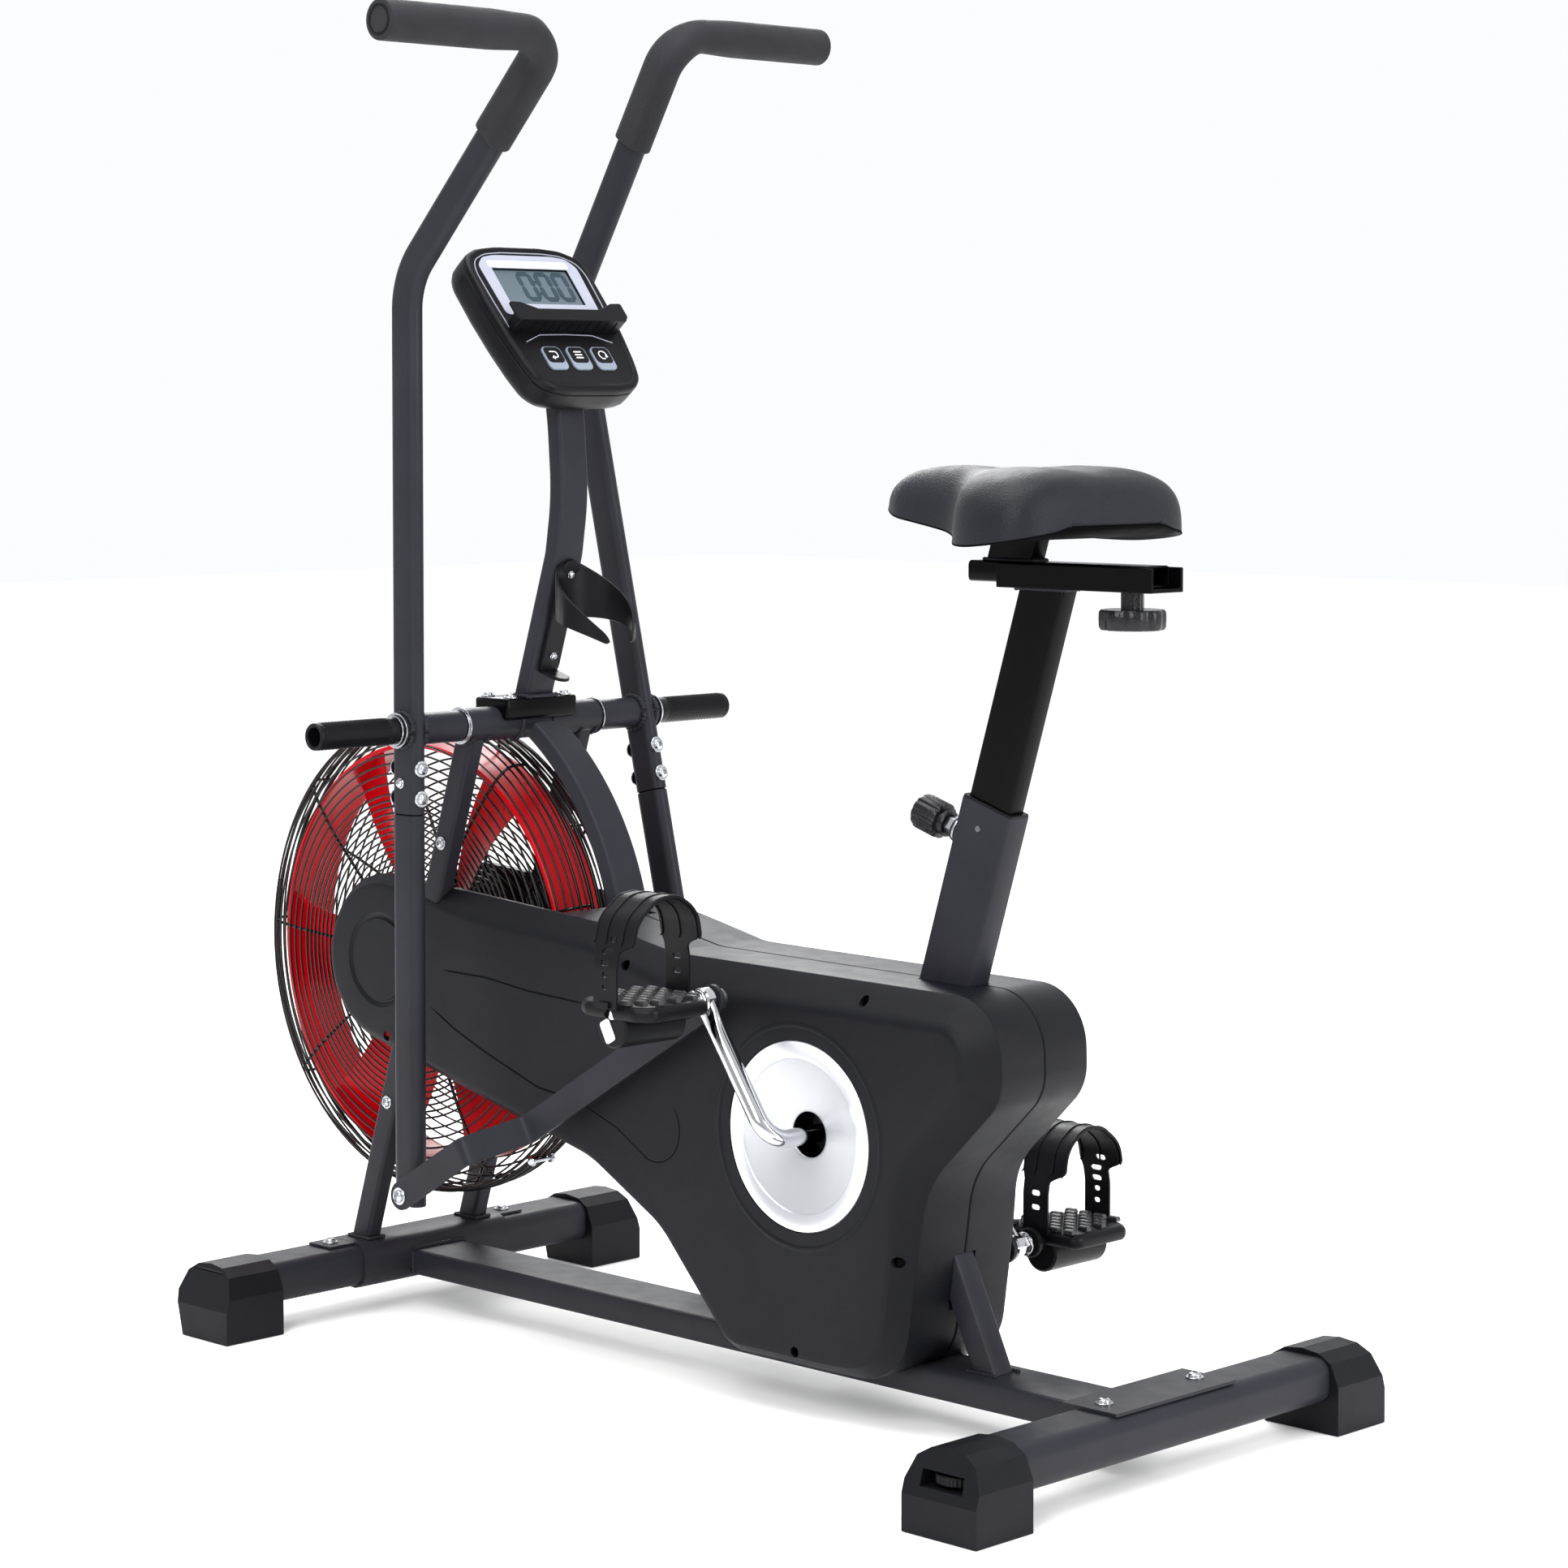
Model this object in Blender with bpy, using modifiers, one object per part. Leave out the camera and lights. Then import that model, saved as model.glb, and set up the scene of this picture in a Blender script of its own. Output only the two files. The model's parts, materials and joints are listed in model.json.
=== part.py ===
"""Air bike with a guarded fan, moving handlebars and a one-piece crank.

Units are metres. X runs along the bike (the rider faces -X, where the fan is), Y across it (the
rider's left is -Y) and Z up. The floor is z = 0 and the middle plane is y = 0.
"""

import math

import bmesh
import bpy
from mathutils import Matrix, Vector

# ---------------------------------------------------------------- driving dimensions
GAP = 0.0003  # between pieces that touch

FAN_X, FAN_Z = -0.369, 0.362  # fan axle
FAN_RADIUS = 0.2165
FAN_HALF_WIDTH = 0.032
GUARD_RADIUS = 0.2445  # middle of the outer wire
GUARD_WIRE = 0.0025

CRANK_X, CRANK_Z = 0.223, 0.259  # bottom bracket axis
CRANK_LENGTH = 0.146
CRANK_ANGLE = math.radians(125)  # left crank, from +X towards +Z
CRANK_ROD = 0.0085
CRANK_PLANE = 0.120  # distance of the crank rods from the middle plane

PIVOT_X, PIVOT_Z = -0.2354, 0.6083  # lever axle, which also carries the foot pegs
LEVER_ARM = 0.4566  # from the lever axle down to the link bolt
LEVER_Y = 0.1545  # middle of the lever tubes
LEVER_LONG, LEVER_THIN = 0.036, 0.018  # flat-oval lever tube
GRIP_X, GRIP_Z = 0.2119, 0.6603  # grip axis, from the lever axle
GRIP_END = 0.365

HOUSING_HALF = 0.0824
NECK_INNER = 0.0605
SHELL_WALL = 0.0025
DISC_RADIUS = 0.0878
HUB_COVER_RADIUS = 0.0865

BEAM_HALF, BEAM_LOW, BEAM_HIGH = 0.0345, 0.0303, 0.0565
FRONT_FOOT_X, REAR_FOOT_X = -0.4088, 0.5748
FOOT_HALF_X, FOOT_LENGTH, FOOT_HEIGHT = 0.0412, 0.071, 0.074
STABILISER_HALF = 0.280
STABILISER_WIDE, STABILISER_TALL, STABILISER_MIDDLE = 0.062, 0.041, 0.048

SEAT_FOOT_X, SEAT_FOOT_Z = 0.2329, 0.0610  # lower end of the seat tube's middle line
SEAT_TILT = math.radians(17.2)  # backwards from upright
SEAT_TUBE_LONG, SEAT_TUBE_WIDE = 0.060, 0.027
SEAT_TUBE_LENGTH = 0.530
SEAT_POST_LONG, SEAT_POST_WIDE = 0.050, 0.020
RAIL_FRONT, RAIL_REAR, RAIL_LOW, RAIL_HIGH = 0.408, 0.584, 0.7645, 0.7860

STRUT_Y = 0.0718
STRUT_LONG, STRUT_WIDE = 0.025, 0.0185
CHAIN_Y = 0.054
CHAINRING_RADIUS, SPROCKET_RADIUS = 0.078, 0.024

CONSOLE_TOP = Vector((-0.2492, 0.0, 1.0839))  # upper edge of the console face
CONSOLE_LOW = Vector((-0.1315, 0.0, 0.9396))
LEVEL = (0.0, 0.0, 0.0)
ALONG_Y = (math.pi / 2, 0.0, 0.0)  # turns a shape made along Z, or an XY outline, to face Y
ALONG_X = (math.pi / 2, 0.0, math.pi / 2)

# ---------------------------------------------------------------- scene helpers
for old in list(bpy.data.objects):
    bpy.data.objects.remove(old)


def new_collection(name):
    made = bpy.data.collections.new(name)
    bpy.context.scene.collection.children.link(made)
    return made


PARTS = new_collection("air_bike")
CUTTERS = new_collection("cutters")


def material(name, colour, roughness, metallic=0.0):
    made = bpy.data.materials.new(name)
    made.use_nodes = True
    shader = made.node_tree.nodes["Principled BSDF"]
    shader.inputs["Base Color"].default_value = (*colour, 1.0)
    shader.inputs["Roughness"].default_value = roughness
    shader.inputs["Metallic"].default_value = metallic
    return made


def pivot(name, at, turn=LEVEL, parent=None):
    """An empty on a joint's axis."""
    made = bpy.data.objects.new(name, None)
    made.location, made.rotation_euler, made.parent = at, turn, parent
    PARTS.objects.link(made)
    return made


def solid(name, mesh, finish, at=(0, 0, 0), turn=LEVEL, parent=None):
    """A named piece of the bike."""
    made = bpy.data.objects.new(name, mesh)
    mesh.materials.clear()
    mesh.materials.append(finish)
    mesh.shade_smooth()
    mesh.set_sharp_from_angle(angle=math.radians(35))
    made.location, made.rotation_euler, made.parent = at, turn, parent
    PARTS.objects.link(made)
    return made


def helper(mesh, at=(0, 0, 0), turn=LEVEL, parent=None):
    """A hidden shape that a Boolean uses."""
    made = bpy.data.objects.new("helper", mesh)
    made.location, made.rotation_euler, made.parent = at, turn, parent
    made.hide_render = True
    made.display_type = "WIRE"
    CUTTERS.objects.link(made)
    return made


def combine(piece, other, operation):
    step = piece.modifiers.new(operation.lower(), "BOOLEAN")
    step.operation = operation
    step.object = other
    return piece


def cut(piece, *helpers):
    for other in helpers:
        combine(piece, other, "DIFFERENCE")
    return piece


def join(piece, *helpers):
    for other in helpers:
        combine(piece, other, "UNION")
    return piece


def soften(piece, width, segments=2, angle=40):
    step = piece.modifiers.new("bevel", "BEVEL")
    step.width, step.segments = width, segments
    step.limit_method, step.angle_limit = "ANGLE", math.radians(angle)
    return piece


# ---------------------------------------------------------------- mesh helpers
def finished(shape):
    mesh = bpy.data.meshes.new("shape")
    shape.to_mesh(mesh)
    shape.free()
    return mesh


def box_mesh(long, wide, tall):
    shape = bmesh.new()
    bmesh.ops.create_cube(shape, size=1.0)
    bmesh.ops.scale(shape, vec=(long, wide, tall), verts=shape.verts)
    return finished(shape)


def round_mesh(radius, length, segments=24, end_radius=None):
    """A cylinder or cone along Z, centred."""
    shape = bmesh.new()
    last = radius if end_radius is None else end_radius
    bmesh.ops.create_cone(
        shape, cap_ends=True, segments=segments, radius1=radius, radius2=last, depth=length
    )
    return finished(shape)


def curve_mesh(splines, cyclic, flat, **settings):
    """The mesh that Blender makes from a curve with these settings, with its caps welded on."""
    curve = bpy.data.curves.new("path", "CURVE")
    curve.dimensions = "2D" if flat else "3D"
    for points in splines:
        spline = curve.splines.new("POLY")
        spline.points.add(len(points) - 1)
        for slot, point in zip(spline.points, points):
            slot.co = (*point, 0.0, 1.0) if len(point) == 2 else (*point, 1.0)
        spline.use_cyclic_u = cyclic
    for setting, value in settings.items():
        setattr(curve, setting, value)
    holder = bpy.data.objects.new("path", curve)
    bpy.context.scene.collection.objects.link(holder)
    bpy.context.view_layer.update()
    mesh = bpy.data.meshes.new_from_object(holder.evaluated_get(bpy.context.evaluated_depsgraph_get()))
    bpy.data.objects.remove(holder)
    shape = bmesh.new()
    shape.from_mesh(mesh)
    bmesh.ops.remove_doubles(shape, verts=shape.verts, dist=1e-6)
    bmesh.ops.recalc_face_normals(shape, faces=shape.faces)
    shape.to_mesh(mesh)
    shape.free()
    return mesh


def plate_mesh(outlines, thick):
    """Flat outlines in XY, the later ones holes in the first, raised along Z by thick, centred."""
    return curve_mesh(outlines, True, True, fill_mode="BOTH", extrude=thick / 2)


def rod_mesh(points, radius, sides=2, cyclic=False):
    """A round rod or wire through the points."""
    return curve_mesh(
        [points], cyclic, False, bevel_depth=radius, bevel_resolution=sides, use_fill_caps=not cyclic
    )


def turned(name, profile, finish, at, turn, parent=None, steps=32):
    """A turned piece: a closed profile of (radius, height) pairs spun about Z."""
    return solid(name, turned_mesh(profile, steps), finish, at, turn, parent)


def turned_mesh(profile, steps):
    """The mesh of a turned piece. An edge that lies on the axis makes no face."""
    shape = bmesh.new()
    rings = []
    for radius, height in profile:
        if radius == 0:
            rings.append([shape.verts.new((0, 0, height))] * steps)
            continue
        angles = [2 * math.pi * i / steps for i in range(steps)]
        rings.append([shape.verts.new((radius * math.cos(a), radius * math.sin(a), height)) for a in angles])
    for first, second in zip(rings, rings[1:] + rings[:1]):
        for i in range(steps):
            j = (i + 1) % steps
            corners = dict.fromkeys((first[i], first[j], second[j], second[i]))
            if len(corners) > 2:
                shape.faces.new(list(corners))
    bmesh.ops.recalc_face_normals(shape, faces=shape.faces[:])
    return finished(shape)


def arc(centre, radius, start, end, steps):
    """Points on a circle, from start to end degrees, both included."""
    angles = [math.radians(start + (end - start) * i / steps) for i in range(steps + 1)]
    return [(centre[0] + radius * math.cos(a), centre[1] + radius * math.sin(a)) for a in angles]


def filleted(points, radii, steps=4, closed=False):
    """The polyline with each inner corner replaced by an arc of its radius."""
    points = [Vector(p) for p in points]
    count = len(points)
    made = []
    for i, corner in enumerate(points):
        radius = radii if isinstance(radii, (int, float)) else radii[i]
        if radius == 0 or (not closed and i in (0, count - 1)):
            made.append(corner)
            continue
        back = (points[i - 1] - corner).normalized()
        ahead = (points[(i + 1) % count] - corner).normalized()
        half = back.angle(ahead) / 2
        reach = radius / math.tan(half)
        centre = corner + (back + ahead).normalized() * (radius / math.sin(half))
        first, last = corner + back * reach - centre, corner + ahead * reach - centre
        sweep = first.angle(last)
        for j in range(steps + 1):
            t = j / steps
            made.append(
                centre + (math.sin((1 - t) * sweep) * first + math.sin(t * sweep) * last) / math.sin(sweep)
            )
    return [tuple(p) for p in made]


def bar(long, wide, radius=0.003, steps=2):
    """The outline of a rectangular section with rounded corners."""
    u, v = long / 2, wide / 2
    return filleted([(-u, -v), (u, -v), (u, v), (-u, v)], radius, steps, closed=True)


def stadium(long, wide, steps=5):
    """The outline of a flat-oval section."""
    reach, radius = (long - wide) / 2, wide / 2
    return arc((reach, 0), radius, -90, 90, steps) + arc((-reach, 0), radius, 90, 270, steps)


def tube_mesh(section, wall, length):
    """A straight tube along Z from its section's function, centred and open at both ends."""
    long, wide = section
    return plate_mesh([bar(long, wide, 0.004), bar(long - 2 * wall, wide - 2 * wall, 0.002)], length)


def loft_mesh(rings):
    """Closed sections joined in order, with flat ends."""
    shape = bmesh.new()
    rows = [[shape.verts.new(p) for p in ring] for ring in rings]
    for low, high in zip(rows, rows[1:]):
        for i in range(len(low)):
            j = (i + 1) % len(low)
            shape.faces.new((low[i], low[j], high[j], high[i]))
    shape.faces.new(rows[0])
    shape.faces.new(rows[-1])
    bmesh.ops.recalc_face_normals(shape, faces=shape.faces)
    return finished(shape)


def smooth(t):
    """Eases from 0 to 1 as t does, and holds beyond both."""
    t = min(max(t, 0.0), 1.0)
    return t * t * (3 - 2 * t)


def swept_rings(path, across, sections):
    """One section at each point of the path, its first axis carried along without twist."""
    path = [Vector(p) for p in path]
    across = Vector(across)
    rings = []
    for i, (point, section) in enumerate(zip(path, sections)):
        before = path[max(i - 1, 0)]
        after = path[min(i + 1, len(path) - 1)]
        ahead = (after - before).normalized()
        across = (across - ahead * across.dot(ahead)).normalized()
        up = ahead.cross(across)
        rings.append([point + across * u + up * v for u, v in section])
    return rings


# ---------------------------------------------------------------- finishes
COAT = material("powder_coat", (0.018, 0.019, 0.023), 0.42)
GLOSS_COAT = material("gloss_coat", (0.010, 0.010, 0.012), 0.18)
HOUSING = material("housing_plastic", (0.022, 0.022, 0.026), 0.55)
BLACK_PLASTIC = material("black_plastic", (0.015, 0.015, 0.016), 0.45)
RED = material("fan_red", (0.62, 0.006, 0.018), 0.30)
GUARD = material("guard_wire", (0.006, 0.006, 0.007), 0.22)
CHROME = material("chrome", (0.75, 0.75, 0.77), 0.10, 1.0)
SILVER = material("disc_silver", (0.62, 0.63, 0.68), 0.35, 0.7)
STEEL = material("steel", (0.30, 0.30, 0.31), 0.35, 1.0)
FOAM = material("grip_foam", (0.012, 0.012, 0.013), 0.85)
COVER = material("saddle_cover", (0.025, 0.025, 0.028), 0.60)
GLASS = material("display_window", (0.30, 0.34, 0.31), 0.15)


# ---------------------------------------------------------------- base
def stabiliser_tube(name, x, half):
    section = (STABILISER_WIDE, STABILISER_TALL)
    outlines = [bar(*section, 0.014, 3), bar(section[0] - 0.004, section[1] - 0.004, 0.012, 3)]
    mesh = plate_mesh(outlines, 2 * half)
    solid(name, mesh, COAT, (x, 0, STABILISER_MIDDLE), ALONG_Y)


def foot(name, x, side, inserted, front):
    """A moulded end cap: a block with bevelled shoulders and a pocket for the tube."""
    half, top = FOOT_HALF_X, FOOT_HEIGHT
    shoulders = [(half, 0.044), (0.0325, 0.064), (0.019, 0.0718), (0, top)]
    outline = [(half, 0)] + shoulders + [(-x, z) for x, z in shoulders[-2::-1]] + [(-half, 0)]
    if front:
        outline[-1] = (-half + 0.011, 0)
    middle = side * (STABILISER_HALF - FOOT_LENGTH / 2)
    piece = solid(name, plate_mesh([outline], FOOT_LENGTH), BLACK_PLASTIC, (x, middle, 0), ALONG_Y)
    inner = STABILISER_HALF - FOOT_LENGTH
    pocket = plate_mesh([bar(STABILISER_WIDE + 2 * GAP, STABILISER_TALL + 2 * GAP, 0.014, 3)], 2 * inserted)
    cut(piece, helper(pocket, (x, side * inner, STABILISER_MIDDLE), ALONG_Y))
    slope = math.radians(17) * side
    cutter = box_mesh(0.2, 0.05, 0.1)
    lean = Matrix.Rotation(slope, 4, "X")
    hinge = Vector((x, side * STABILISER_HALF, 0.032))
    centre = hinge + lean @ Vector((0, side * 0.025, 0.048))
    cut(piece, helper(cutter, centre, (slope, 0, 0)))
    return piece


def levelling_foot(name, wheel_name, side):
    piece = foot(name, REAR_FOOT_X, side, 0.020, front=False)
    y = side * 0.2515
    cut(
        piece,
        helper(round_mesh(0.0232, 0.014, 24), (REAR_FOOT_X, y, 0.0475)),
        helper(box_mesh(0.0464, 0.060, 0.014), (REAR_FOOT_X, y + side * 0.030, 0.0475)),
        helper(round_mesh(0.0046, 0.080, 12), (REAR_FOOT_X, y, 0.010)),
    )
    wheel = solid(wheel_name, round_mesh(0.0218, 0.009, 24), BLACK_PLASTIC, (REAR_FOOT_X, y, 0.0475))
    join(wheel, helper(round_mesh(0.004, 0.041, 12), (REAR_FOOT_X, y, 0.0235)))


def base():
    beam_front = FRONT_FOOT_X + 0.034 + GAP
    beam_rear = REAR_FOOT_X - STABILISER_WIDE / 2 - GAP
    beam = tube_mesh((2 * BEAM_HALF, BEAM_HIGH - BEAM_LOW), 0.0025, beam_rear - beam_front)
    at = ((beam_front + beam_rear) / 2, 0, (BEAM_LOW + BEAM_HIGH) / 2)
    beam = solid("main_beam", beam, COAT, at, ALONG_X)

    stabiliser_tube("front_stabiliser_tube", FRONT_FOOT_X, STABILISER_HALF - 0.012)
    stabiliser_tube("rear_stabiliser_tube", REAR_FOOT_X, STABILISER_HALF - FOOT_LENGTH + 0.0195)
    foot("front_left_foot", FRONT_FOOT_X, -1, 0.0605, front=True)
    foot("front_right_foot", FRONT_FOOT_X, 1, 0.0605, front=True)
    levelling_foot("rear_left_foot", "rear_left_levelling_wheel", -1)
    levelling_foot("rear_right_foot", "rear_right_levelling_wheel", 1)

    bore = bar(STABILISER_WIDE + 2 * GAP, STABILISER_TALL + 2 * GAP, 0.014, 3)
    skin = bar(0.068, STABILISER_TALL + 0.006, 0.016, 3)
    sleeve = solid(
        "front_cross_sleeve", plate_mesh([skin, bore], 0.196), COAT, (FRONT_FOOT_X, 0, STABILISER_MIDDLE), ALONG_Y
    )
    top = STABILISER_MIDDLE + STABILISER_TALL / 2
    for side in (-1, 1):
        join(sleeve, helper(box_mesh(0.034, 0.044, 0.0024), (FRONT_FOOT_X, side * 0.108, top + 0.0016)))

    # The beam's rear plate is welded to it and bolts down on the rear stabiliser.
    plate_z = top + GAP + 0.0015
    plate = helper(box_mesh(0.060, 0.164, 0.003), (REAR_FOOT_X - 0.006, 0, plate_z))
    riser = helper(box_mesh(0.004, 0.066, 0.020), (beam_rear - 0.002, 0, plate_z - 0.0085))
    join(beam, riser, plate)


# ---------------------------------------------------------------- frame
def strut_line(height):
    """Where the fan struts' middle line is at a height."""
    foot_x, foot_z = -0.405, 0.0725
    return foot_x + (height - foot_z) * (PIVOT_X - foot_x) / (PIVOT_Z - foot_z)


def fan_strut(name, side):
    low, high = Vector((strut_line(0.05), 0, 0.05)), Vector((PIVOT_X, 0, PIVOT_Z))
    lean = math.atan2(high.x - low.x, high.z - low.z)
    middle = (low + high) / 2
    middle.y = side * STRUT_Y
    section = plate_mesh(
        [bar(STRUT_LONG, STRUT_WIDE), bar(STRUT_LONG - 0.004, STRUT_WIDE - 0.004, 0.001)], (high - low).length
    )
    strut = solid(name, section, COAT, middle, (0, lean, 0))
    root_x = strut_line(FAN_Z)
    eye = arc((FAN_X, FAN_Z), 0.022, 100, 280, 10)
    bracket = eye + [(root_x, FAN_Z - 0.050), (root_x + 0.016, FAN_Z + 0.045)]
    join(strut, helper(plate_mesh([bracket], 0.005), (0, side * STRUT_Y, 0), ALONG_Y))
    cut(
        strut,
        helper(box_mesh(0.2, 0.1, 0.1), (-0.405, side * STRUT_Y, 0.0225)),
        helper(round_mesh(0.017 + GAP, 0.2, 32), (PIVOT_X, side * STRUT_Y, PIVOT_Z), ALONG_Y),
        helper(round_mesh(0.0063, 0.05, 16), (FAN_X, side * STRUT_Y, FAN_Z), ALONG_Y),
    )


def seat_line(distance):
    """A point on the seat tube's middle line."""
    return Vector(
        (SEAT_FOOT_X + distance * math.sin(SEAT_TILT), 0, SEAT_FOOT_Z + distance * math.cos(SEAT_TILT))
    )


PIN_TURN = (0, SEAT_TILT - math.pi / 2, 0)


def pin_line(distance):
    """A point on the height pin's axis, so far forward of the seat tube's middle line."""
    forward = Vector((-math.cos(SEAT_TILT), 0, math.sin(SEAT_TILT)))
    return seat_line(SEAT_TUBE_LENGTH - 0.036) + forward * distance


def seat_frame():
    turn = (0, SEAT_TILT, 0)
    tube = solid(
        "seat_tube",
        plate_mesh([bar(SEAT_TUBE_LONG, SEAT_TUBE_WIDE)], SEAT_TUBE_LENGTH),
        COAT,
        seat_line(SEAT_TUBE_LENGTH / 2),
        turn,
    )
    shell = helper(round_mesh(0.0275, 0.068, 32), (CRANK_X, 0, CRANK_Z), ALONG_Y)
    gusset = helper(box_mesh(0.060, 0.022, 0.040), (CRANK_X + 0.040, 0, CRANK_Z))
    brace_low, brace_high = Vector((0.3913, 0, 0.050)), Vector((0.3035, 0, 0.235))
    along = brace_high - brace_low
    lean = (0, math.atan2(along.x, along.z), 0)
    brace = helper(plate_mesh([bar(0.024, 0.027)], along.length), (brace_low + brace_high) / 2, lean)
    join(tube, gusset, shell, brace)
    bore = plate_mesh([bar(SEAT_POST_LONG + 2 * GAP, SEAT_POST_WIDE + 2 * GAP, 0.002)], 0.7)
    cut(
        tube,
        helper(bore, seat_line(SEAT_TUBE_LENGTH - 0.260 + 0.350), turn),
        helper(round_mesh(0.0215, 0.2, 32), (CRANK_X, 0, CRANK_Z), ALONG_Y),
        helper(box_mesh(0.6, 0.2, 0.1), (SEAT_FOOT_X, 0, BEAM_HIGH + GAP - 0.05)),
    )
    join(
        tube,
        helper(round_mesh(0.0120, 0.008, 24), pin_line(0.0320), PIN_TURN),
        helper(round_mesh(0.0095, 0.020, 6), pin_line(0.0360), PIN_TURN),
    )
    cut(tube, helper(round_mesh(0.0048, 0.030, 16), pin_line(0.0400), PIN_TURN))



def arch():
    """The frame tube that curves round the back of the fan, from the lever axle to the crank."""
    radius = 0.2885
    top = arc((FAN_X, FAN_Z), radius, 56, 8, 12)
    path = top + filleted([top[-1], (-0.079, 0.350), (CRANK_X - 0.028, CRANK_Z)], 0.05, 4)[1:]
    section = bar(0.020, 0.040)
    rings = swept_rings([(x, 0, z) for x, z in path], (1, 0, 0), [section] * len(path))
    tube = solid("arch_tube", loft_mesh(rings), COAT)
    cut(
        tube,
        helper(round_mesh(0.017 + GAP, 0.2, 32), (PIVOT_X, 0, PIVOT_Z), ALONG_Y),
        helper(round_mesh(0.0275 + GAP, 0.2, 32), (CRANK_X, 0, CRANK_Z), ALONG_Y),
    )


def lever_axle():
    turned(
        "pivot_cross_tube",
        [(0.017, 0.0885), (0.017, -0.0885), (0.0113, -0.0885), (0.0113, 0.0885)],
        COAT,
        (PIVOT_X, 0, PIVOT_Z),
        ALONG_Y,
    )
    solid("pivot_axle", round_mesh(0.011, 0.350, 24), STEEL, (PIVOT_X, 0, PIVOT_Z), ALONG_Y)
    for name, side in (("left_foot_peg", -1), ("right_foot_peg", 1)):
        turned(
            name,
            [(0.0125, 0.049), (0.0132, 0.047), (0.0132, -0.049), (0.004, -0.049), (0.004, -0.040),
             (0.0095, -0.040), (0.0095, 0.049)],
            BLACK_PLASTIC,
            (PIVOT_X, side * 0.2245, PIVOT_Z),
            (-side * math.pi / 2, 0, 0),
        )


# ---------------------------------------------------------------- console
POST_LINE = [(-0.2264, 0.6338), (-0.1805, 0.7765), (-0.1715, 0.835), (-0.1765, 0.905), (-0.1845, 0.960)]
POST_DEEP, POST_WIDE = 0.0195, 0.037


def console_post():
    bracket = solid("post_bracket", box_mesh(0.049, 0.094, 0.0215), GLOSS_COAT, (-0.2370, 0, 0.62275))
    soften(bracket, 0.003)
    cut(bracket, helper(round_mesh(0.017 + GAP, 0.2, 32), (PIVOT_X, 0, PIVOT_Z), ALONG_Y))
    path = filleted(POST_LINE, [0, 0.08, 0.25, 0.25, 0], 4)
    section = bar(POST_DEEP, POST_WIDE)
    rings = swept_rings([(x, 0, z) for x, z in path], (1, 0, 0), [section] * len(path))
    post = solid("console_post", loft_mesh(rings), COAT)
    cut(post, helper(box_mesh(0.1, 0.1, 0.1), (-0.226, 0, 0.6338 - 0.05)))


def bottle_holder():
    """A moulded holder screwed to the back of the post: a strip, two arms and a toe for the bottle."""
    low, high = (Vector((x, 0, z)) for x, z in POST_LINE[:2])
    along = (high - low).normalized()
    lean = math.atan2(along.x, along.z)
    off = POST_DEEP / 2 + GAP + 0.0028
    middle = low + along * 0.088 + Vector((along.z, 0, -along.x)) * off
    strip = solid("bottle_holder", box_mesh(0.0056, 0.024, 0.122), BLACK_PLASTIC, middle, (0, lean, 0))
    centre_x, radius = -0.1345, 0.0365
    rings = []
    steps = 24
    for i in range(steps + 1):
        t = abs(2 * i / steps - 1)
        angle = math.pi + (2 * i / steps - 1) * math.radians(158)
        top = 0.772 - 0.074 * t**1.3
        low_edge = top - (0.046 * (1 - t) + 0.008)
        ring = []
        for r, z in ((radius, low_edge), (radius + 0.003, low_edge), (radius + 0.003, top), (radius, top)):
            ring.append((centre_x + r * math.cos(angle), r * math.sin(angle), z))
        rings.append(ring)
    toe = low + along * 0.030 + Vector((1, 0, -0.25)) * 0.0215
    join(
        strip,
        helper(loft_mesh(rings)),
        helper(box_mesh(0.038, 0.020, 0.0035), toe, (0, 0.30, 0)),
    )
    cut(strip, helper(box_mesh(POST_DEEP + 2 * GAP, 0.1, 0.4), low + along * 0.1, (0, lean, 0)))


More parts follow.
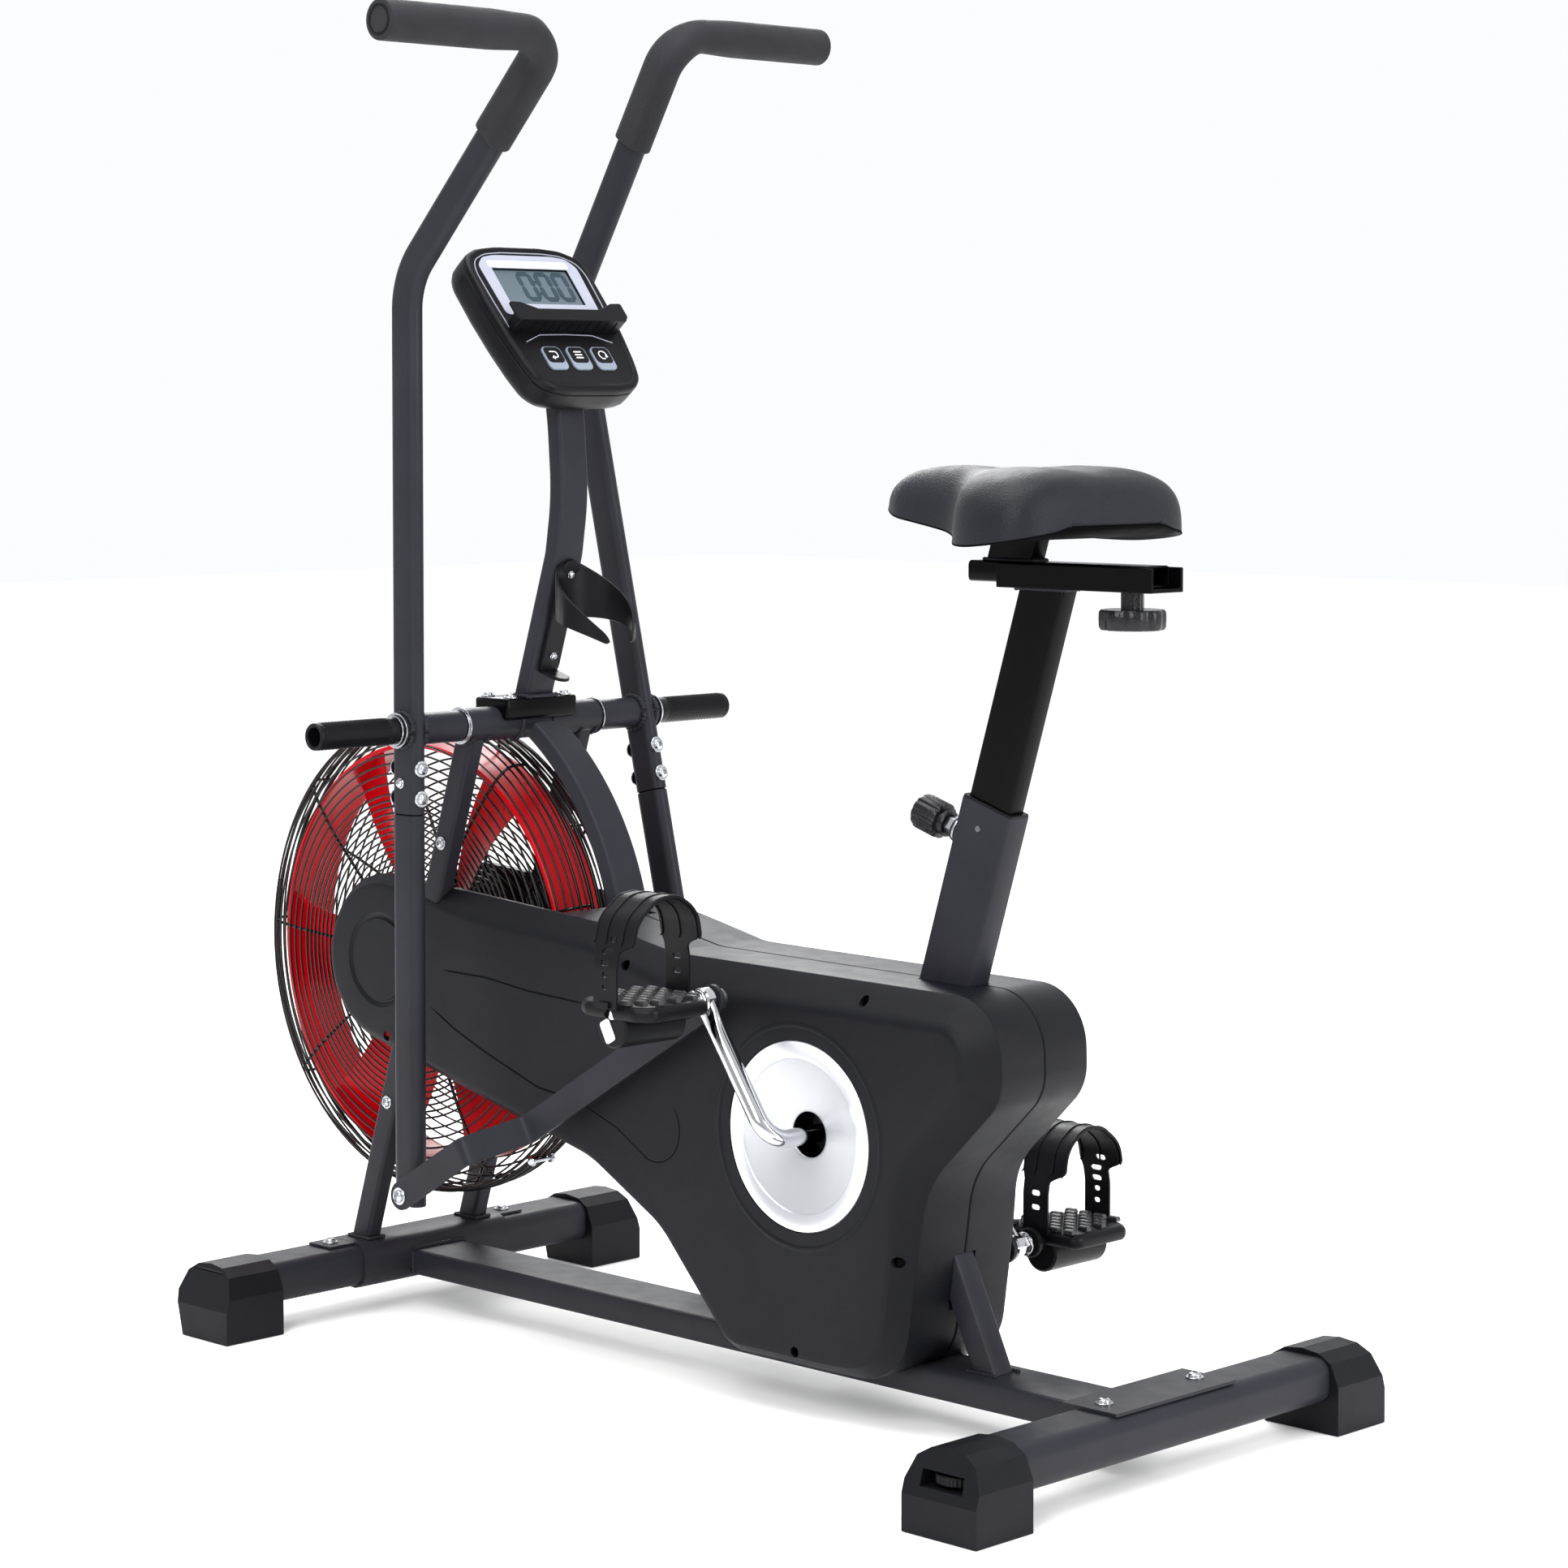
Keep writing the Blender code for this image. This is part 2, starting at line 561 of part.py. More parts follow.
def console():
    down = (CONSOLE_LOW - CONSOLE_TOP).normalized()
    out = Vector((-down.z, 0, down.x))
    tilt = math.atan2(out.x, out.z)
    middle = (CONSOLE_LOW + CONSOLE_TOP) / 2
    length = (CONSOLE_LOW - CONSOLE_TOP).length

    # In the console's own frame X runs down its face, Y across it and Z out of it.
    turn = (0, tilt, 0)
    hub = pivot("console_frame", middle, turn)
    half = length / 2
    outline = filleted(
        [(-half, -0.082), (0.020, -0.082), (half, -0.0665), (half, 0.0665), (0.020, 0.082), (-half, 0.082)],
        [0.032, 0.030, 0.024, 0.024, 0.030, 0.032], 4, closed=True,
    )
    back = solid("console_back", plate_mesh([outline], 0.030), BLACK_PLASTIC, (0, 0, -0.0233), parent=hub)
    post_top = Vector((POST_LINE[-1][0], 0, POST_LINE[-1][1]))
    post_below = Vector((POST_LINE[-2][0], 0, POST_LINE[-2][1]))
    post_turn = (0, math.atan2(post_top.x - post_below.x, post_top.z - post_below.z), 0)
    socket = box_mesh(POST_DEEP + 2 * GAP, POST_WIDE + 2 * GAP, 0.080)
    cut(back, helper(socket, post_top.lerp(post_below, (0.040 - GAP) / (post_top - post_below).length), post_turn))
    front = solid("console_front", plate_mesh([outline], 0.008), BLACK_PLASTIC, (0, 0, -0.004), parent=hub)
    soften(front, 0.0025)
    window = (-0.0395, 0.0)
    cut(front, helper(box_mesh(0.0460, 0.1006, 0.010), (*window, 0.0), LEVEL, hub))
    button_x, pitch = 0.0531, 0.0323
    for i in (-1, 0, 1):
        cut(front, helper(round_mesh(0.0083, 0.030, 20), (button_x, i * pitch, 0.0), LEVEL, hub))
    solid("display_window", box_mesh(0.0454, 0.1000, 0.003), GLASS, (*window, -0.0032), parent=hub)
    ledge = solid("phone_rest", box_mesh(0.026, 0.148, 0.012), BLACK_PLASTIC, (0.016, 0, 0.0063), parent=hub)
    join(ledge, helper(box_mesh(0.006, 0.148, 0.008), (0.026, 0, 0.0155), LEVEL, hub))
    for name, i in (("left_button", -1), ("middle_button", 0), ("right_button", 1)):
        button = solid(name, round_mesh(0.0078, 0.0060, 20), BLACK_PLASTIC, (button_x, i * pitch, -0.0016), parent=hub)
        soften(button, 0.0008, 1)


# ---------------------------------------------------------------- levers and links
def crank_pin(side):
    angle = CRANK_ANGLE if side < 0 else CRANK_ANGLE + math.pi
    return Vector((CRANK_X + CRANK_LENGTH * math.cos(angle), CRANK_Z + CRANK_LENGTH * math.sin(angle)))


LINK_LENGTH = (crank_pin(-1) - Vector((PIVOT_X, PIVOT_Z - LEVER_ARM))).length


def right_lever_lean():
    """How far the right lever stands from upright where its link meets the right crank pin."""
    pin = crank_pin(1)
    to_pin = pin - Vector((PIVOT_X, PIVOT_Z))
    reach = to_pin.length
    inner = math.acos((LEVER_ARM**2 + reach**2 - LINK_LENGTH**2) / (2 * LEVER_ARM * reach))
    return math.atan2(to_pin.y, to_pin.x) - inner + math.pi / 2


def lever(prefix, side, lean):
    """One handlebar: the upper tube with its bearing sleeve, the lower tube, and the grip.

    It is modelled upright and then leaned about the lever axle."""
    axis = pivot(prefix + "_lever_axis", (PIVOT_X, 0, PIVOT_Z), (0, -lean, 0))
    y = side * LEVER_Y
    section = stadium(LEVER_LONG, LEVER_THIN)
    corner = Vector((GRIP_X, y, GRIP_Z))
    line = [(0, y, -0.082), (0, y, 0.4377), tuple(corner), (GRIP_X, side * (GRIP_END - 0.004), GRIP_Z)]
    path = filleted(line, [0, 0.075, 0.040, 0], 6)
    round_end = stadium(0.0262, 0.0260)
    sections = [section if abs(p[1]) < LEVER_Y + 0.030 else round_end for p in path]
    path.insert(-1, (GRIP_X, side * (LEVER_Y + 0.046), GRIP_Z))
    sections.insert(-1, round_end)
    upper = solid(prefix + "_lever_upper", loft_mesh(swept_rings(path, (1, 0, 0), sections)), COAT, parent=axis)
    bearing = round_mesh(0.0155, 0.079, 32)
    join(upper, helper(bearing, (0, side * 0.131, 0), ALONG_Y, axis))
    cut(upper, helper(round_mesh(0.0114, 0.2, 24), (0, side * 0.131, 0), ALONG_Y, axis))

    low_end = LEVER_ARM + 0.011
    lower_mesh = plate_mesh([stadium(LEVER_LONG, LEVER_THIN)], low_end - 0.0823)
    lower = solid(prefix + "_lever_lower", lower_mesh, COAT, (0, y, -(low_end + 0.0823) / 2), parent=axis)
    cut(lower, helper(round_mesh(0.0045, 0.05, 16), (0, y, -LEVER_ARM), ALONG_Y, axis))

    turned(
        prefix + "_grip",
        [(0.017, 0.080), (0.019, 0.077), (0.019, -0.078), (0.0175, -0.080), (0.0134, -0.080),
         (0.0134, 0.0775), (0.003, 0.0775), (0.003, 0.080)],
        FOAM,
        (GRIP_X, side * (GRIP_END - 0.080), GRIP_Z),
        (-side * math.pi / 2, 0, 0),
        axis,
        24,
    )

    pin = crank_pin(side)
    eye = Vector((PIVOT_X + LEVER_ARM * math.sin(lean), PIVOT_Z - LEVER_ARM * math.cos(lean)))
    link(prefix, side, eye, pin)


def link(prefix, side, eye, pin):
    """The flat bar from lever to crank, stepped inwards, with the bolt it turns on at the lever."""
    angle = math.atan2(pin.y - eye.y, pin.x - eye.x)
    at = pivot(prefix + "_link_axis", (eye.x, 0, eye.y), (0, -angle, 0))
    outer, inner, thick, tall = 0.1669, 0.1085, 0.0045, 0.028
    jog_start, jog_end = 0.108, 0.142
    run = [(0, outer), (jog_start, outer), (jog_end, inner), (LINK_LENGTH, inner)]
    run = filleted([(x, side * y) for x, y in run], [0, 0.012, 0.012, 0], 3)
    flat = [(thick / 2, tall / 2), (-thick / 2, tall / 2), (-thick / 2, -tall / 2), (thick / 2, -tall / 2)]
    rings = swept_rings([(x, y, 0) for x, y in run], (0, 1, 0), [flat] * len(run))
    bar_piece = solid(prefix + "_link", loft_mesh(rings), COAT, parent=at)
    for x, y in ((0, outer), (LINK_LENGTH, inner)):
        join(bar_piece, helper(round_mesh(tall / 2, thick, 24), (x, side * y, 0), ALONG_Y, at))
    bolt = round_mesh(0.0042, 0.030, 16)
    join(bar_piece, helper(bolt, (0, side * (outer - 0.012), 0), ALONG_Y, at))
    join(bar_piece, helper(round_mesh(0.0085, 0.006, 20), (0, side * (outer + 0.004), 0), ALONG_Y, at))
    cap = round_mesh(0.0095, 0.009, 20)
    join(bar_piece, helper(cap, (LINK_LENGTH, side * (inner - 0.0055), 0), ALONG_Y, at))


# ---------------------------------------------------------------- crank and pedals
def crank():
    """The one-piece crank: a bent rod with a flattened eye and a pedal spindle at each end."""
    left, right = crank_pin(-1), crank_pin(1)
    ends = [(pin.x - CRANK_X, side * CRANK_PLANE, pin.y - CRANK_Z) for side, pin in ((-1, left), (1, right))]
    line = [ends[0], (0, -CRANK_PLANE, 0), (0, CRANK_PLANE, 0), ends[1]]
    path = filleted(line, [0, 0.024, 0.024, 0], 6)
    centre = pivot("crank_axis", (CRANK_X, 0, CRANK_Z))
    rod = solid("crank", rod_mesh(path, CRANK_ROD, 3), CHROME, parent=centre)
    for side, end in zip((-1, 1), ends):
        join(
            rod,
            helper(round_mesh(0.0125, 0.0116, 24), (end[0], side * CRANK_PLANE, end[2]), ALONG_Y, centre),
            helper(round_mesh(0.0050, 0.122, 16), (end[0], side * 0.1755, end[2]), ALONG_Y, centre),
        )
    join(rod, helper(round_mesh(0.0110, 0.060, 24), (0, 0, 0), ALONG_Y, centre))
    for name, side in (("left_bearing_cup", -1), ("right_bearing_cup", 1)):
        flange = [(0.0245, 0.0030), (0.0245, 0.0), (0.0212, 0.0), (0.0212, -0.010), (0.0114, -0.010), (0.0114, 0.003)]
        turned(name, flange, STEEL, (CRANK_X, side * (0.034 + GAP), CRANK_Z), (-side * math.pi / 2, 0, 0))
    for name, side, end in (("left", -1, ends[0]), ("right", 1, ends[1])):
        pedal(name, side, (CRANK_X + end[0], 0, CRANK_Z + end[2]))


def pedal(prefix, side, at):
    """A platform pedal, weighted below so that it hangs level, with a toe strap arched over it."""
    axis = pivot(prefix + "_pedal_axis", at)
    middle, half = side * 0.1975, 0.0425
    outline = filleted(
        [(-0.048, -half), (0.048, -half), (0.048, 0.032), (0.032, half), (-0.032, half), (-0.048, 0.032)],
        0.006, 2, closed=True,
    )
    outline = [(x, y * side) for x, y in outline]
    body = solid(prefix + "_pedal", plate_mesh([outline], 0.017), BLACK_PLASTIC, (0, middle, 0.0060), parent=axis)
    soften(body, 0.003, 2)
    join(body, helper(round_mesh(0.0190, 2 * half - 0.004, 24), (0, middle, -0.0115), ALONG_Y, axis))
    cut(body, helper(round_mesh(0.0056, 0.2, 16), (0, middle, 0), ALONG_Y, axis))

    inner, outer = 0.1527, 0.2430
    line = [(inner, 0.0065), (inner, 0.045), (0.1600, 0.090), (0.1850, 0.1065), (0.2100, 0.1045),
            (0.2350, 0.0860), (outer, 0.045), (outer, 0.0065)]
    path = filleted([(side * y, z) for y, z in line], [0, 0.05, 0.03, 0.03, 0.03, 0.03, 0.05, 0], 3)
    sections, run = [], []
    for y, z in path:
        hood = smooth((z - 0.060) / 0.020)
        wide = 0.0165 + 0.0095 * hood
        sections.append([(0.0014, -wide), (0.0014, wide), (-0.0014, wide), (-0.0014, -wide)])
        run.append((0.008 * hood, y, z))
    loop = swept_rings(run, (0, 1, 0), sections)
    solid(prefix + "_pedal_strap", loft_mesh(loop), BLACK_PLASTIC, parent=axis)


# ---------------------------------------------------------------- drive and fan
def toothed_disc(radius, teeth, depth):
    """A chain wheel's outline."""
    points = []
    for i in range(teeth):
        step = 360 / teeth
        points += arc((0, 0), radius + depth / 2, step * i, step * (i + 0.25), 1)
        points += arc((0, 0), radius - depth / 2, step * (i + 0.5), step * (i + 0.75), 1)
    return points


def chain_outline(grow):
    """The chain's run round both wheels, grown outwards."""
    big, small = CHAINRING_RADIUS + grow, SPROCKET_RADIUS + grow
    dx, dz = FAN_X - CRANK_X, FAN_Z - CRANK_Z
    heading = math.degrees(math.atan2(dz, dx))
    wrap = math.degrees(math.acos((big - small) / math.hypot(dx, dz)))
    return arc((CRANK_X, CRANK_Z), big, heading + wrap, heading + 360 - wrap, 20) + arc(
        (FAN_X, FAN_Z), small, heading - wrap, heading + wrap, 10
    )


def drive():
    ring = solid(
        "chainring",
        plate_mesh([toothed_disc(CHAINRING_RADIUS - 0.0045, 26, 0.004), arc((0, 0), 0.012, 360, 15, 23)], 0.004),
        STEEL, (CRANK_X, CHAIN_Y, CRANK_Z), ALONG_Y,
    )
    for i in range(5):
        x, z = arc((CRANK_X, CRANK_Z), 0.045, 72 * i, 72 * i + 1, 1)[0]
        cut(ring, helper(round_mesh(0.015, 0.02, 16), (x, CHAIN_Y, z), ALONG_Y))
    solid("drive_chain", plate_mesh([chain_outline(0.004), chain_outline(-0.002)], 0.0075), STEEL,
          (0, CHAIN_Y, 0), ALONG_Y)
    sprocket = solid(
        "fan_sprocket", plate_mesh([toothed_disc(SPROCKET_RADIUS - 0.0045, 12, 0.003)], 0.004), STEEL,
        (FAN_X, CHAIN_Y, FAN_Z), ALONG_Y,
    )
    join(sprocket, helper(round_mesh(0.0135, 0.010, 20), (FAN_X, CHAIN_Y - 0.004, FAN_Z), ALONG_Y))
    cut(sprocket, helper(round_mesh(0.0065, 0.1, 16), (FAN_X, CHAIN_Y, FAN_Z), ALONG_Y))
    solid("fan_axle", round_mesh(0.0060, 0.158, 16), STEEL, (FAN_X, 0, FAN_Z), ALONG_Y)


def fan_wheel():
    hub = turned(
        "fan_wheel",
        [(0.060, 0.028), (0.060, -0.028), (0.0066, -0.044), (0.0066, 0.044)],
        RED, (FAN_X, 0, FAN_Z), ALONG_Y, steps=32,
    )
    inner = FAN_RADIUS - 0.004
    band = turned_mesh([(FAN_RADIUS, 0.030), (FAN_RADIUS, -0.030), (inner, -0.030), (inner, 0.030)], 40)
    join(hub, helper(band, (FAN_X, 0, FAN_Z), ALONG_Y))
    blades = 6
    for i in range(blades):
        angle = 2 * math.pi * i / blades
        blade = box_mesh(0.160, 0.100, 0.004)
        turn = Matrix.Rotation(-angle, 4, "Y") @ Matrix.Rotation(math.radians(68), 4, "X")
        offset = turn @ Vector((0.135, 0, 0))
        join(hub, helper(blade, Vector((FAN_X, 0, FAN_Z)) + offset, turn.to_euler()))


def guard(name, side):
    """Half of the fan cage: rings of wire on radial ribs."""
    rings = [(GUARD_RADIUS, 0.006), (GUARD_RADIUS, 0.022), (0.170, 0.0425), (0.055, 0.0435)]
    cage = None
    for radius, offset in rings:
        w = GUARD_WIRE
        square = [(radius + w, offset + w), (radius + w, offset - w), (radius - w, offset - w), (radius - w, offset + w)]
        at, turn = (FAN_X, 0, FAN_Z), (-side * math.pi / 2, 0, 0)
        if cage is None:
            cage = turned(name, square, GUARD, at, turn, steps=32)
            continue
        join(cage, helper(turned_mesh(square, 32), at, turn))
    for i in range(8):
        angle = math.radians(45 * i + 22.5)
        across, up = math.cos(angle), math.sin(angle)
        shape = rings[:2] + [(0.2340, 0.0350)] + rings[2:]
        points = [(FAN_X + r * across, side * y, FAN_Z + r * up) for r, y in shape]
        join(cage, helper(rod_mesh(points, 0.0021, 0)))


# ---------------------------------------------------------------- housing
def housing_outline():
    lobe = arc((FAN_X, FAN_Z), HUB_COVER_RADIUS, 254, 86, 18)
    corners = [
        (-0.060, 0.427), (0.040, 0.4075), (0.447, 0.4045), (0.449, 0.316), (0.364, 0.232),
        (0.338, 0.046), (0.128, 0.046), (0.034, 0.146), (-0.066, 0.200),
    ]
    radii = [0.10, 0.10, 0.055, 0.048, 0.08, 0.055, 0.040, 0.10, 0.12]
    ends = [lobe[-1], *corners, lobe[0]]
    body = filleted(ends, [0, *radii, 0], 4)
    return lobe + body[1:-1]


def shell_mesh(outline, side):
    """A side wall and a bevelled outer face, open at the middle plane."""
    shape = bmesh.new()
    inner = [shape.verts.new((x, side * 0.0006, z)) for x, z in outline]
    outer = [shape.verts.new((x, side * HOUSING_HALF, z)) for x, z in outline]
    count = len(outline)
    for i in range(count):
        j = (i + 1) % count
        shape.faces.new((inner[i], inner[j], outer[j], outer[i]))
    face = shape.faces.new(outer)
    bmesh.ops.recalc_face_normals(shape, faces=shape.faces)
    if face.normal.y * side < 0:
        bmesh.ops.reverse_faces(shape, faces=shape.faces)
    bmesh.ops.bevel(
        shape, geom=list(face.edges), offset=0.012, offset_type="OFFSET", segments=3, profile=0.5, affect="EDGES"
    )
    return finished(shape)


def housing(name, side):
    shell = solid(name, shell_mesh(housing_outline(), side), HOUSING)
    skin = shell.modifiers.new("wall", "SOLIDIFY")
    skin.thickness, skin.offset = SHELL_WALL, -1
    turn = (0, SEAT_TILT, 0)
    cage_room = helper(round_mesh(0.262, 2 * NECK_INNER, 64), (FAN_X, 0, FAN_Z), ALONG_Y)
    disc_room = helper(round_mesh(DISC_RADIUS + 0.0006, 0.04, 48), (CRANK_X, side * HOUSING_HALF, CRANK_Z), ALONG_Y)
    seat_room = helper(box_mesh(SEAT_TUBE_LONG + 0.001, SEAT_TUBE_WIDE + 0.001, 0.9), seat_line(0.3), turn)
    beam_room = helper(box_mesh(0.8, 2 * BEAM_HALF + 0.001, 0.052), (0.2, 0, BEAM_HIGH + 0.0006 - 0.026))
    arch_room = helper(box_mesh(0.034, 0.041, 0.060), (-0.086, 0, 0.428), (0, math.radians(-14), 0))
    brace_room = helper(box_mesh(0.028, 0.029, 0.16), (0.352, 0, 0.130), (0, math.radians(-24.4), 0))
    low, high = Vector((strut_line(0.05), 0, 0.05)), Vector((PIVOT_X, 0, PIVOT_Z))
    lean = math.atan2(high.x - low.x, high.z - low.z)
    middle = (low + high) / 2
    middle.y = side * (STRUT_Y - 0.006)
    strut_room = helper(box_mesh(STRUT_LONG + 0.001, STRUT_WIDE + 0.0126, 0.7), middle, (0, lean, 0))
    cut(shell, cage_room, disc_room, seat_room, beam_room, arch_room, brace_room, strut_room)


def crank_cover(name, side):
    """The dished silver disc that closes the housing round the crank."""
    profile = [
        (DISC_RADIUS, 0.0), (DISC_RADIUS, -0.004), (0.076, -0.004), (0.021, -0.016), (0.021, -0.014),
        (0.076, -0.0015), (0.078, 0.0),
    ]
    turned(name, profile, SILVER, (CRANK_X, side * HOUSING_HALF, CRANK_Z), (-side * math.pi / 2, 0, 0), steps=48)


# ---------------------------------------------------------------- seat
def seat():
    turn = (0, SEAT_TILT, 0)
    post_low, post_high = SEAT_TUBE_LENGTH - 0.150, 0.750
    post = plate_mesh([bar(SEAT_POST_LONG, SEAT_POST_WIDE, 0.002)], post_high - post_low)
    post = solid("seat_post", post, GLOSS_COAT, seat_line((post_low + post_high) / 2), turn)
    cut(post, helper(box_mesh(0.2, 0.2, 0.1), (0.45, 0, RAIL_LOW - GAP + 0.05)))

    # The spring pin's knob: collar, then grip, with the pin reaching in to the post.
    knob = turned(
        "seat_height_knob",
        [(0.0150, 0.0360), (0.0170, 0.0340), (0.0170, 0.0080), (0.0125, 0.0075), (0.0125, 0.0),
         (0.0, 0.0), (0.0, 0.0360)],
        BLACK_PLASTIC, pin_line(0.0465), PIN_TURN, steps=24,
    )
    join(knob, helper(round_mesh(0.0042, 0.0220, 16), pin_line(0.0374), PIN_TURN))

    rail_x, rail_z = (RAIL_FRONT + RAIL_REAR) / 2, (RAIL_LOW + RAIL_HIGH) / 2
    rail_length, rail_tall = RAIL_REAR - RAIL_FRONT, RAIL_HIGH - RAIL_LOW
    rail = solid("slide_rail", box_mesh(rail_length, 0.044, rail_tall), GLOSS_COAT, (rail_x, 0, rail_z))
    channel = box_mesh(0.4, 0.0368, 0.0400)
    cut(rail, helper(channel, (rail_x, 0, RAIL_LOW + 0.0035 + 0.0200)))
    knob_x = 0.5456
    cut(rail, helper(round_mesh(0.0052, 0.03, 16), (knob_x, 0, RAIL_LOW)))
    slider_front, slider_rear, slider_tall = 0.372, 0.572, 0.0188
    slider = tube_mesh((0.036, slider_tall), 0.002, slider_rear - slider_front)
    slider_z = RAIL_LOW + 0.0035 + 0.0006 + slider_tall / 2
    carriage = solid(
        "saddle_slider", slider, GLOSS_COAT, ((slider_front + slider_rear) / 2, 0, slider_z), ALONG_X
    )
    stem = plate_mesh([bar(SEAT_POST_LONG, SEAT_POST_WIDE, 0.002)], 0.0370)
    join(carriage, helper(stem, (0.4160, 0, 0.8010), turn))
    cut(carriage, helper(box_mesh(0.1, 0.1, 0.1), (0.4160, 0, 0.8137 + 0.05)))
    clamp = turned(
        "slide_knob",
        [(0.010, -0.0005), (0.010, -0.0145), (0.028, -0.0150), (0.0295, -0.0175), (0.0295, -0.0310),
         (0.0275, -0.0335), (0.0, -0.0335), (0.0, -0.0005)],
        BLACK_PLASTIC, (knob_x, 0, RAIL_LOW - GAP), LEVEL, steps=32,
    )
    join(clamp, helper(round_mesh(0.0048, 0.006, 16), (knob_x, 0, RAIL_LOW)))
    saddle()


def saddle():
    """The padded saddle, lofted from nose to tail over its hollow base."""
    stations = [
        # place along the bike, half width, top height, bottom height
        (0.269, 0.010, 0.846, 0.834), (0.280, 0.026, 0.857, 0.829), (0.310, 0.037, 0.867, 0.824),
        (0.345, 0.045, 0.8715, 0.820), (0.385, 0.066, 0.8705, 0.8150), (0.425, 0.098, 0.871, 0.8100),
        (0.455, 0.115, 0.872, 0.8070), (0.482, 0.120, 0.872, 0.8070), (0.506, 0.112, 0.867, 0.8100),
        (0.522, 0.092, 0.857, 0.8140), (0.528, 0.075, 0.846, 0.8200),
    ]
    around = 20
    rings = []
    for x, half, top, low in stations:
        middle, rise = (top + low) / 2, (top - low) / 2
        ring = []
        for i in range(around):
            angle = 2 * math.pi * i / around
            across, up = math.cos(angle), math.sin(angle)
            y = half * math.copysign(abs(across) ** 0.7, across)
            z = middle + rise * math.copysign(abs(up) ** 0.8, up)
            ring.append((x, y, z))
        rings.append(ring)
    saddle_piece = solid("saddle", loft_mesh(rings), COVER)
    cut(saddle_piece, helper(box_mesh(0.26, 0.044, 0.050), (0.460, 0, 0.8155 - 0.025)))


# ---------------------------------------------------------------- assembly
base()
seat_frame()
arch()
lever_axle()
for label, hand in (("left", -1), ("right", 1)):
    fan_strut(label + "_fan_strut", hand)
    guard(label + "_fan_guard", hand)
    housing(label + "_housing", hand)
    crank_cover(label + "_crank_cover", hand)
console_post()
bottle_holder()
console()
lever("left", -1, 0.0)
lever("right", 1, right_lever_lean())
crank()
drive()
fan_wheel()
seat()
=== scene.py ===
"""Looks for the air bike: camera, light, materials and the detailed pieces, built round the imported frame.

Places are in metres. Tables of profiles and outlines are written in millimetres and turned to metres by mm().
"""

import json
import math
import random

import bmesh
import bpy
from mathutils import Matrix, Vector, noise


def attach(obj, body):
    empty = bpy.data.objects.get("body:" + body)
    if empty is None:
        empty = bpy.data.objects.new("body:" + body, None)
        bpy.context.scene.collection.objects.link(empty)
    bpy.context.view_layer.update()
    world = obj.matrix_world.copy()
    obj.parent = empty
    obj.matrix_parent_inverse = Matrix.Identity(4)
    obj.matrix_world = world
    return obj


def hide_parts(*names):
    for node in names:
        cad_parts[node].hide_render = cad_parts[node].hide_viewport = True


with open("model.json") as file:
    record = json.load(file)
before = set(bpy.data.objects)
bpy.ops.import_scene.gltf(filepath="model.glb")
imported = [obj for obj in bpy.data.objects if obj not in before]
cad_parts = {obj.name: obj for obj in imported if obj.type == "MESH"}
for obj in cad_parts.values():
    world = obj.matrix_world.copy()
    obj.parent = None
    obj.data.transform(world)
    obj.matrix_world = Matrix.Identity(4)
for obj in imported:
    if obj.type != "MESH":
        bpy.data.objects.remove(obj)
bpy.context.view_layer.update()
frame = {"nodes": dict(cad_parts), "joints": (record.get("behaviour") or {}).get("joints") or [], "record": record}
JOINTS = {joint["name"]: joint for joint in frame["joints"]}


def joint_at(name):
    return Vector(JOINTS[name]["pos_m"])


# ---------------------------------------------------------------- measures shared with the CAD part, in metres
FAN, CRANK, PIVOT = (Vector((joint_at(name).x, 0, joint_at(name).z))
                     for name in ("fan_turn", "crank_turn", "left_lever_swing"))
PINS = {-1: joint_at("left_pedal_turn"), 1: joint_at("right_pedal_turn")}
EYES = {-1: joint_at("left_link_swing"), 1: joint_at("right_link_swing")}
SIDES = (("left", -1), ("right", 1))
FAN_RADIUS, GUARD_RADIUS = 0.2165, 0.2445
CRANK_PLANE, CRANK_ROD = 0.12, 0.0085
LEVER_ARM, LEVER_Y = 0.4566, 0.1545
LEVER_LONG, LEVER_THIN = 0.036, 0.018
GRIP_X, GRIP_Z, GRIP_END = 0.2119, 0.6603, 0.365
HOUSING_HALF, DISC_RADIUS = 0.0824, 0.0878
SEAT_TILT = math.radians(17.2)
SEAT_FOOT = Vector((0.2329, 0, 0.061))
FRONT_X, REAR_X = -0.4088, 0.5748
PEDAL_Y, SPINDLE_BORE = 0.1975, 0.0056
COLLAR_WELD = 0.0176  # radius of the weld line round the cross tube
STRUT_Y, STRUT_FOOT = 0.0718, Vector((-0.405, 0, 0.0725))
SEAT_UP = Vector((math.sin(SEAT_TILT), 0, math.cos(SEAT_TILT)))
SEAT_TURN = Matrix.Rotation(SEAT_TILT, 4, "Y")
SQUARE = ((-1, -1), (1, -1), (1, 1), (-1, 1))


def mm(*rows):
    """Rows of measures written in millimetres, as metres."""
    return [tuple(value / 1000 for value in row) for row in rows]


# ---------------------------------------------------------------- camera and light
def look(azimuth, elevation):
    """The turn of a camera that looks along an azimuth and elevation in degrees; azimuth 0 looks along +Y."""
    return (math.radians(90 - elevation), 0, math.radians(azimuth))


def camera():
    data = bpy.data.cameras.new("camera")
    data.lens, data.sensor_width = 90.03, 36
    data.shift_x, data.shift_y = -0.00475, -0.127
    made = bpy.data.objects.new("camera", data)
    made.location = (2.693, -2.6245, 0.9306)
    made.rotation_euler = look(44.268, 2.717)
    bpy.context.scene.collection.objects.link(made)
    bpy.context.scene.camera = made


